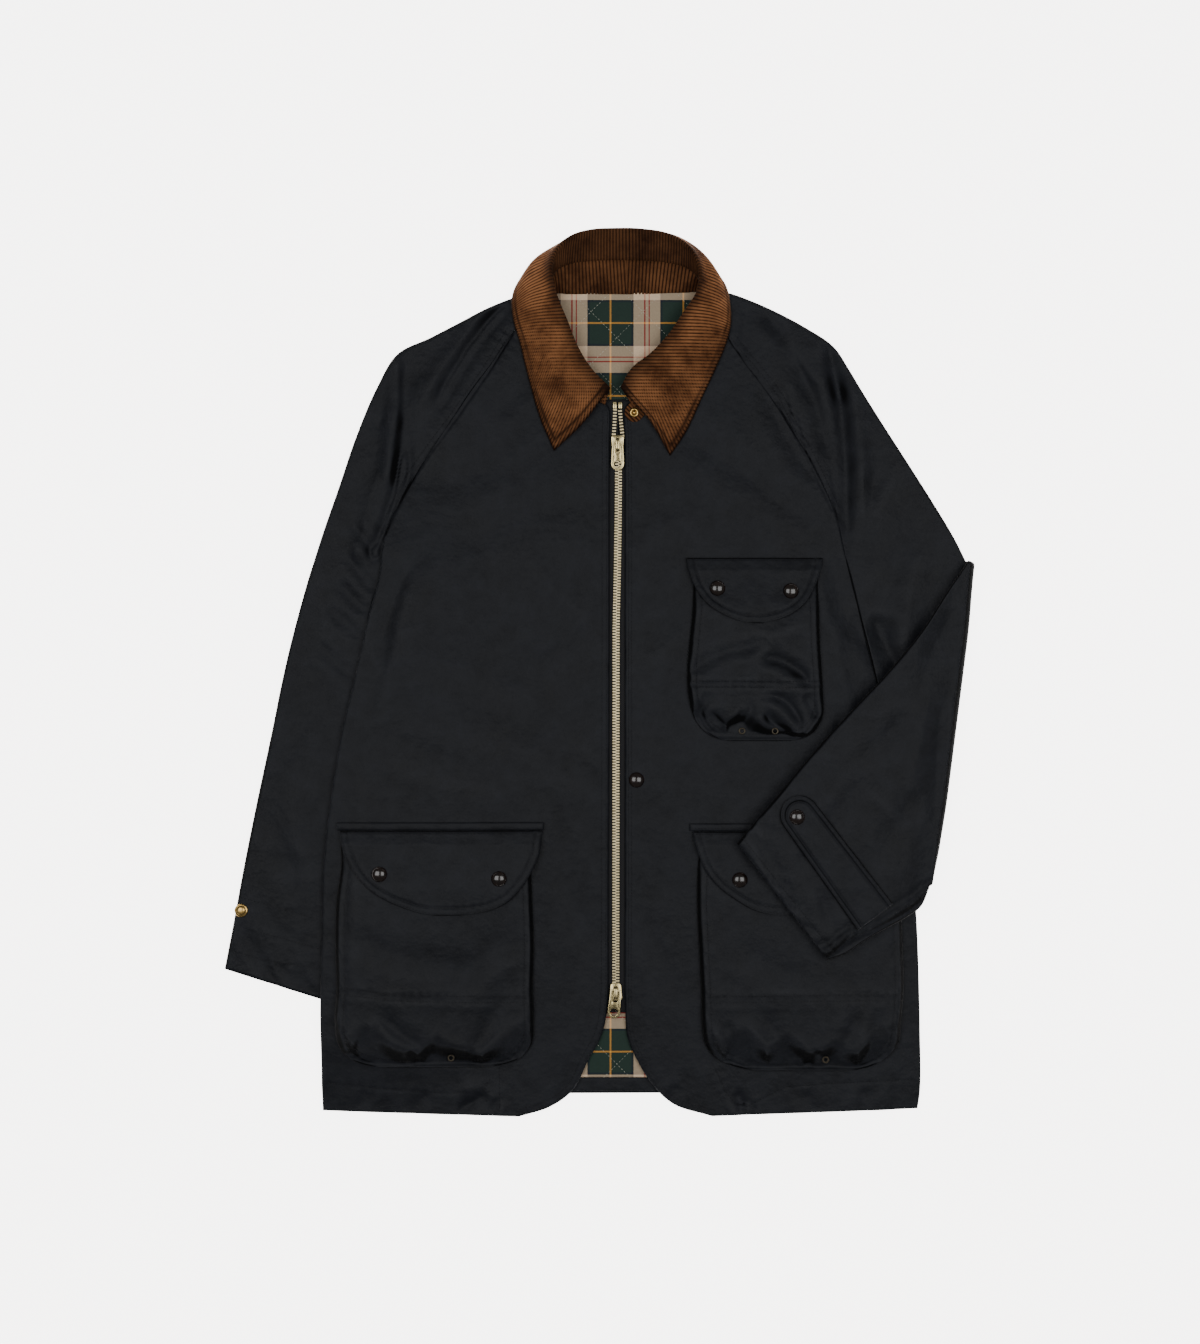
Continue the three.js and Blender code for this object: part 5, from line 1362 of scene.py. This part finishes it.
def tapeRelief(x, y):
    return (zipLook["weaveHeight"] * np.sin(y * zipLook["weaveTurn"])
            + zipLook["ridgeHeight"] * hump(np.abs(x - chainX(y)) - zipLook["ridgeAt"], 0.6))


toothRows = [[(chainX(y) + side * zipLook["reach"], y - start, zipLook["middle"])
              for y in (664.5, 600, 545, 490, 300, 134.5)] for side, start in ((-1, 0.0), (1, zipLook["pitch"] / 2))]
toothRows += [[(x, y, zipLook["openMiddle"]) for x, y in path] for path in (
    [(-2.0, 707.5), (-2.3, 698), (-3.1, 683)], [(3.0, 706.3), (3.9, 696), (5.4, 681.5)])]
teeth = rowObject("zipTeeth", toothRows, toothTree, zipLook["pitch"], zipLook["tooth"], toothBrass, smoothed=False)
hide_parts("zip_chain")
for node, side in (("zip_tape_right", -1), ("zip_tape_left", 1)):
    inner, outer = (side * way for way in (zipLook["tapeInner"], zipLook["tapeInner"] + zipLook["tapeWide"]))
    makeLaid(node, [(chainX(y) + inner, y, chainX(y) + outer, y) for y in np.linspace(718, 104, 9)],
             lambda x, y: zipLook["tapeUnder"] + 0 * x, zipLook["tapeThick"], tapeCloth, 220, 10, tapeRelief,
             "zip_tape")
print("zip made")


# Sewing
sewing = {"pitch": 3.2, "size": (2.5, 0.62, 0.5), "lift": 0.12, "step": 1.6,
          "quiltPitch": 3.6, "quiltSize": (2.4, 0.4, 0.35), "quiltLift": 0.05}
facesOf = {}


# Where a line straight down meets a piece.
def surfaceHit(node, start):
    if node not in facesOf:
        mesh = bpy.data.objects[node + "Cloth"].data
        facesOf[node] = BVHTree.FromPolygons([v.co.copy() for v in mesh.vertices],
                                             [tuple(p.vertices) for p in mesh.polygons])
    return facesOf[node].ray_cast(start, Vector((0, 0, -1)))[0]


def dense(path, step):
    path = floats(path)
    lengths = np.concatenate([[0], np.cumsum(np.linalg.norm(np.diff(path, axis=0), axis=1))])
    s = np.linspace(0, lengths[-1], max(2, int(lengths[-1] / step) + 1))
    return np.column_stack([np.interp(s, lengths, path[:, i]) for i in range(path.shape[1])])


# The parts of a path that lie on a piece and under no cover, laid on its upper face.
def laidOn(node, path, covers=(), lift=sewing["lift"]):
    found, run = [], []
    for x, y in dense(path, sewing["step"]):
        start = Vector(((x + shift[0]) * mm, (y + shift[1]) * mm, 0.2))
        hit = surfaceHit(node, start)
        above = [surfaceHit(cover, start) for cover in covers] if hit is not None else []
        if hit is None or any(other is not None and other.z > hit.z + 0.0002 for other in above):
            found.append(run)
            run = []
        else:
            run.append((x, y, hit.z / mm + lift))
    return [run for run in found + [run] if len(run) > 2]


blackRows = []


def sew(node, path, *covers):
    blackRows.extend(laidOn(node, path, covers))


for node, rows, side, distances in (("right_front", rightFrontRows, -1, (2.6, 7.2)),
                                    ("left_front", leftFrontRows, 1, (3.6, 6.4))):
    inner = railPoints(floats(rows)[:, 2:4], np.linspace(0.16, 1, 260))
    for distance in distances:
        sew(node, beside(inner, side * distance))
    sew(node, hemStitch[side])
sew("right_front", [(-117.5, 52), (-117.5, 3)])
for path, sleeve, side in ((raglanRight, "right_sleeve", -1), (raglanLeft, "left_sleeve", 1)):
    curve = railPoints(path, np.linspace(0, 1, 120))
    for distance in (2.2, 7.0):
        sew(sleeve, beside(curve, side * distance), "collar_fall")
for path in cuffRight:
    sew("right_sleeve", path)
for path in cuffLeft + [lowerRidge]:
    sew("left_sleeve", path, "cuff_strap")
for name, pocket in pockets.items():
    flap, welt = name.replace("pocket", "flap"), name.replace("pocket", "welt")
    for inset in (7.2, 1.8):
        sew(flap, flapPath(pocket, inset), "left_sleeve")
    y, low, high = pocket["flap"][0]
    sew(flap, [(low + 4, y - 2.6), (high - 4, y - 2.6)], "left_sleeve")
    if "welt" in pocket:
        y, low, high = pocket["welt"][1]
        sew(welt, [(low + 3, y - 1.5), (high - 3, y - 1.5)], "left_sleeve")
    inset, bag = pocketLook["seamInset"], pocket["bag"]
    bagPaths = [beside(pocket["seam"], distance) for distance in (-3, 3)]
    bagPaths += [[(r[column] + side * inset, r[0]) for r in bag[:-2]] for column, side in ((1, 1), (2, -1))]
    bagPaths.append([(r[1] + inset, r[0] + 7) for r in bag[-5:]] + [(r[2] - inset, r[0] + 7) for r in bag[:-6:-1]])
    for path in bagPaths:
        sew(name, path, flap, "left_sleeve")
for inset in (2.2, 5.6):
    inside = dict(strap, half=strap["half"] - inset)
    edgeRows = tongueRows(inside, roundEnd + [1, 3, (strap["length"] - inset) / inside["half"]])
    sew("cuff_strap", [(r[0], r[1]) for r in edgeRows][::-1] + [(r[2], r[3]) for r in edgeRows])
rowObject("blackSewing", blackRows, stitchTree, sewing["pitch"], sewing["size"], blackThread)


def onCollar(row, column):
    return fall[row, column] + fallNormals[row, column] * 0.15


edgeWay = np.linalg.norm(fall - fall[:, -1:, :], axis=-1)
edgeRow = [onCollar(r, int(np.argmin(np.abs(edgeWay[r] - collar["seamInset"])))) for r in range(20, len(fall) - 20, 3)]
ends = [[onCollar(r, c) for c in range(10, fall.shape[1] - 3, 2)] for r in (12, len(fall) - 13)]
rowObject("brownSewing", [edgeRow] + ends, stitchTree, sewing["pitch"], sewing["size"], brownThread)

paleRows = []
for node, lowY, highY in (("lining_neck", 705, 830), ("lining_hem", 30, 120)):
    for k in range(-30, 31):
        for way in (1, -1):
            points = dense([(x, quiltPitch * k - way * x) for x in (-90, 90)], 2)
            points = points[(points[:, 1] > lowY) & (points[:, 1] < highY)]
            if len(points) > 3:
                paleRows += laidOn(node, points, lift=sewing["quiltLift"])
rowObject("quilting", paleRows, stitchTree, sewing["quiltPitch"], sewing["quiltSize"], paleThread)
print("sewing made")


# Studio
studio = {"floor": (0.95, 0.93, 0.915), "glow": 5.6, "world": 0.17, "box": 36.0, "boxSide": 1.5}
floorMaterial, tree, shader = newMaterial("paleFloor", {"Roughness": 0.9, "Specular IOR Level": 0.1})
tone = toRange(tree, noise(tree, objectPoint(tree), 3, 2), 0.985, 1.0)
tree.links.new(mixColor(tree, tone, (0, 0, 0), studio["floor"]), shader.inputs["Base Color"])
shader.inputs["Emission Color"].default_value = (*studio["floor"], 1)
shader.inputs["Emission Strength"].default_value = studio["glow"]
floorMesh = bpy.data.meshes.new("floor")
floorMesh.from_pydata([(-4, -4, -0.0004), (4, -4, -0.0004), (4, 4, -0.0004), (-4, 4, -0.0004)], [], [(0, 1, 2, 3)])
newObject("floor", floorMesh, floorMaterial)


def areaLight(name, place):
    data = bpy.data.lights.new(name, "AREA")
    data.shape, data.size, data.energy = "SQUARE", studio["boxSide"], studio["box"]
    obj = newObject(name, data)
    obj.location = place
    obj.rotation_euler = (-Vector(place)).to_track_quat("-Z", "Y").to_euler()


areaLight("leftBox", (-1.05, 0.1, 2.7))
areaLight("rightBox", (1.05, 0.0, 2.7))
world = bpy.data.worlds.new("studio")
bpy.context.scene.world = world
world.use_nodes = True
world.node_tree.nodes["Background"].inputs["Color"].default_value = (1, 1, 1, 1)
world.node_tree.nodes["Background"].inputs["Strength"].default_value = studio["world"]

cameraData = bpy.data.cameras.new("camera")
cameraData.type = "PERSP"
cameraData.sensor_fit, cameraData.sensor_height, cameraData.lens = "VERTICAL", 36.0, 36 * 2.99 / 1.344
camera = newObject("camera", cameraData)
camera.location = (0.0009, 0.0005, 3.0)
bpy.context.scene.camera = camera
print("studio made")
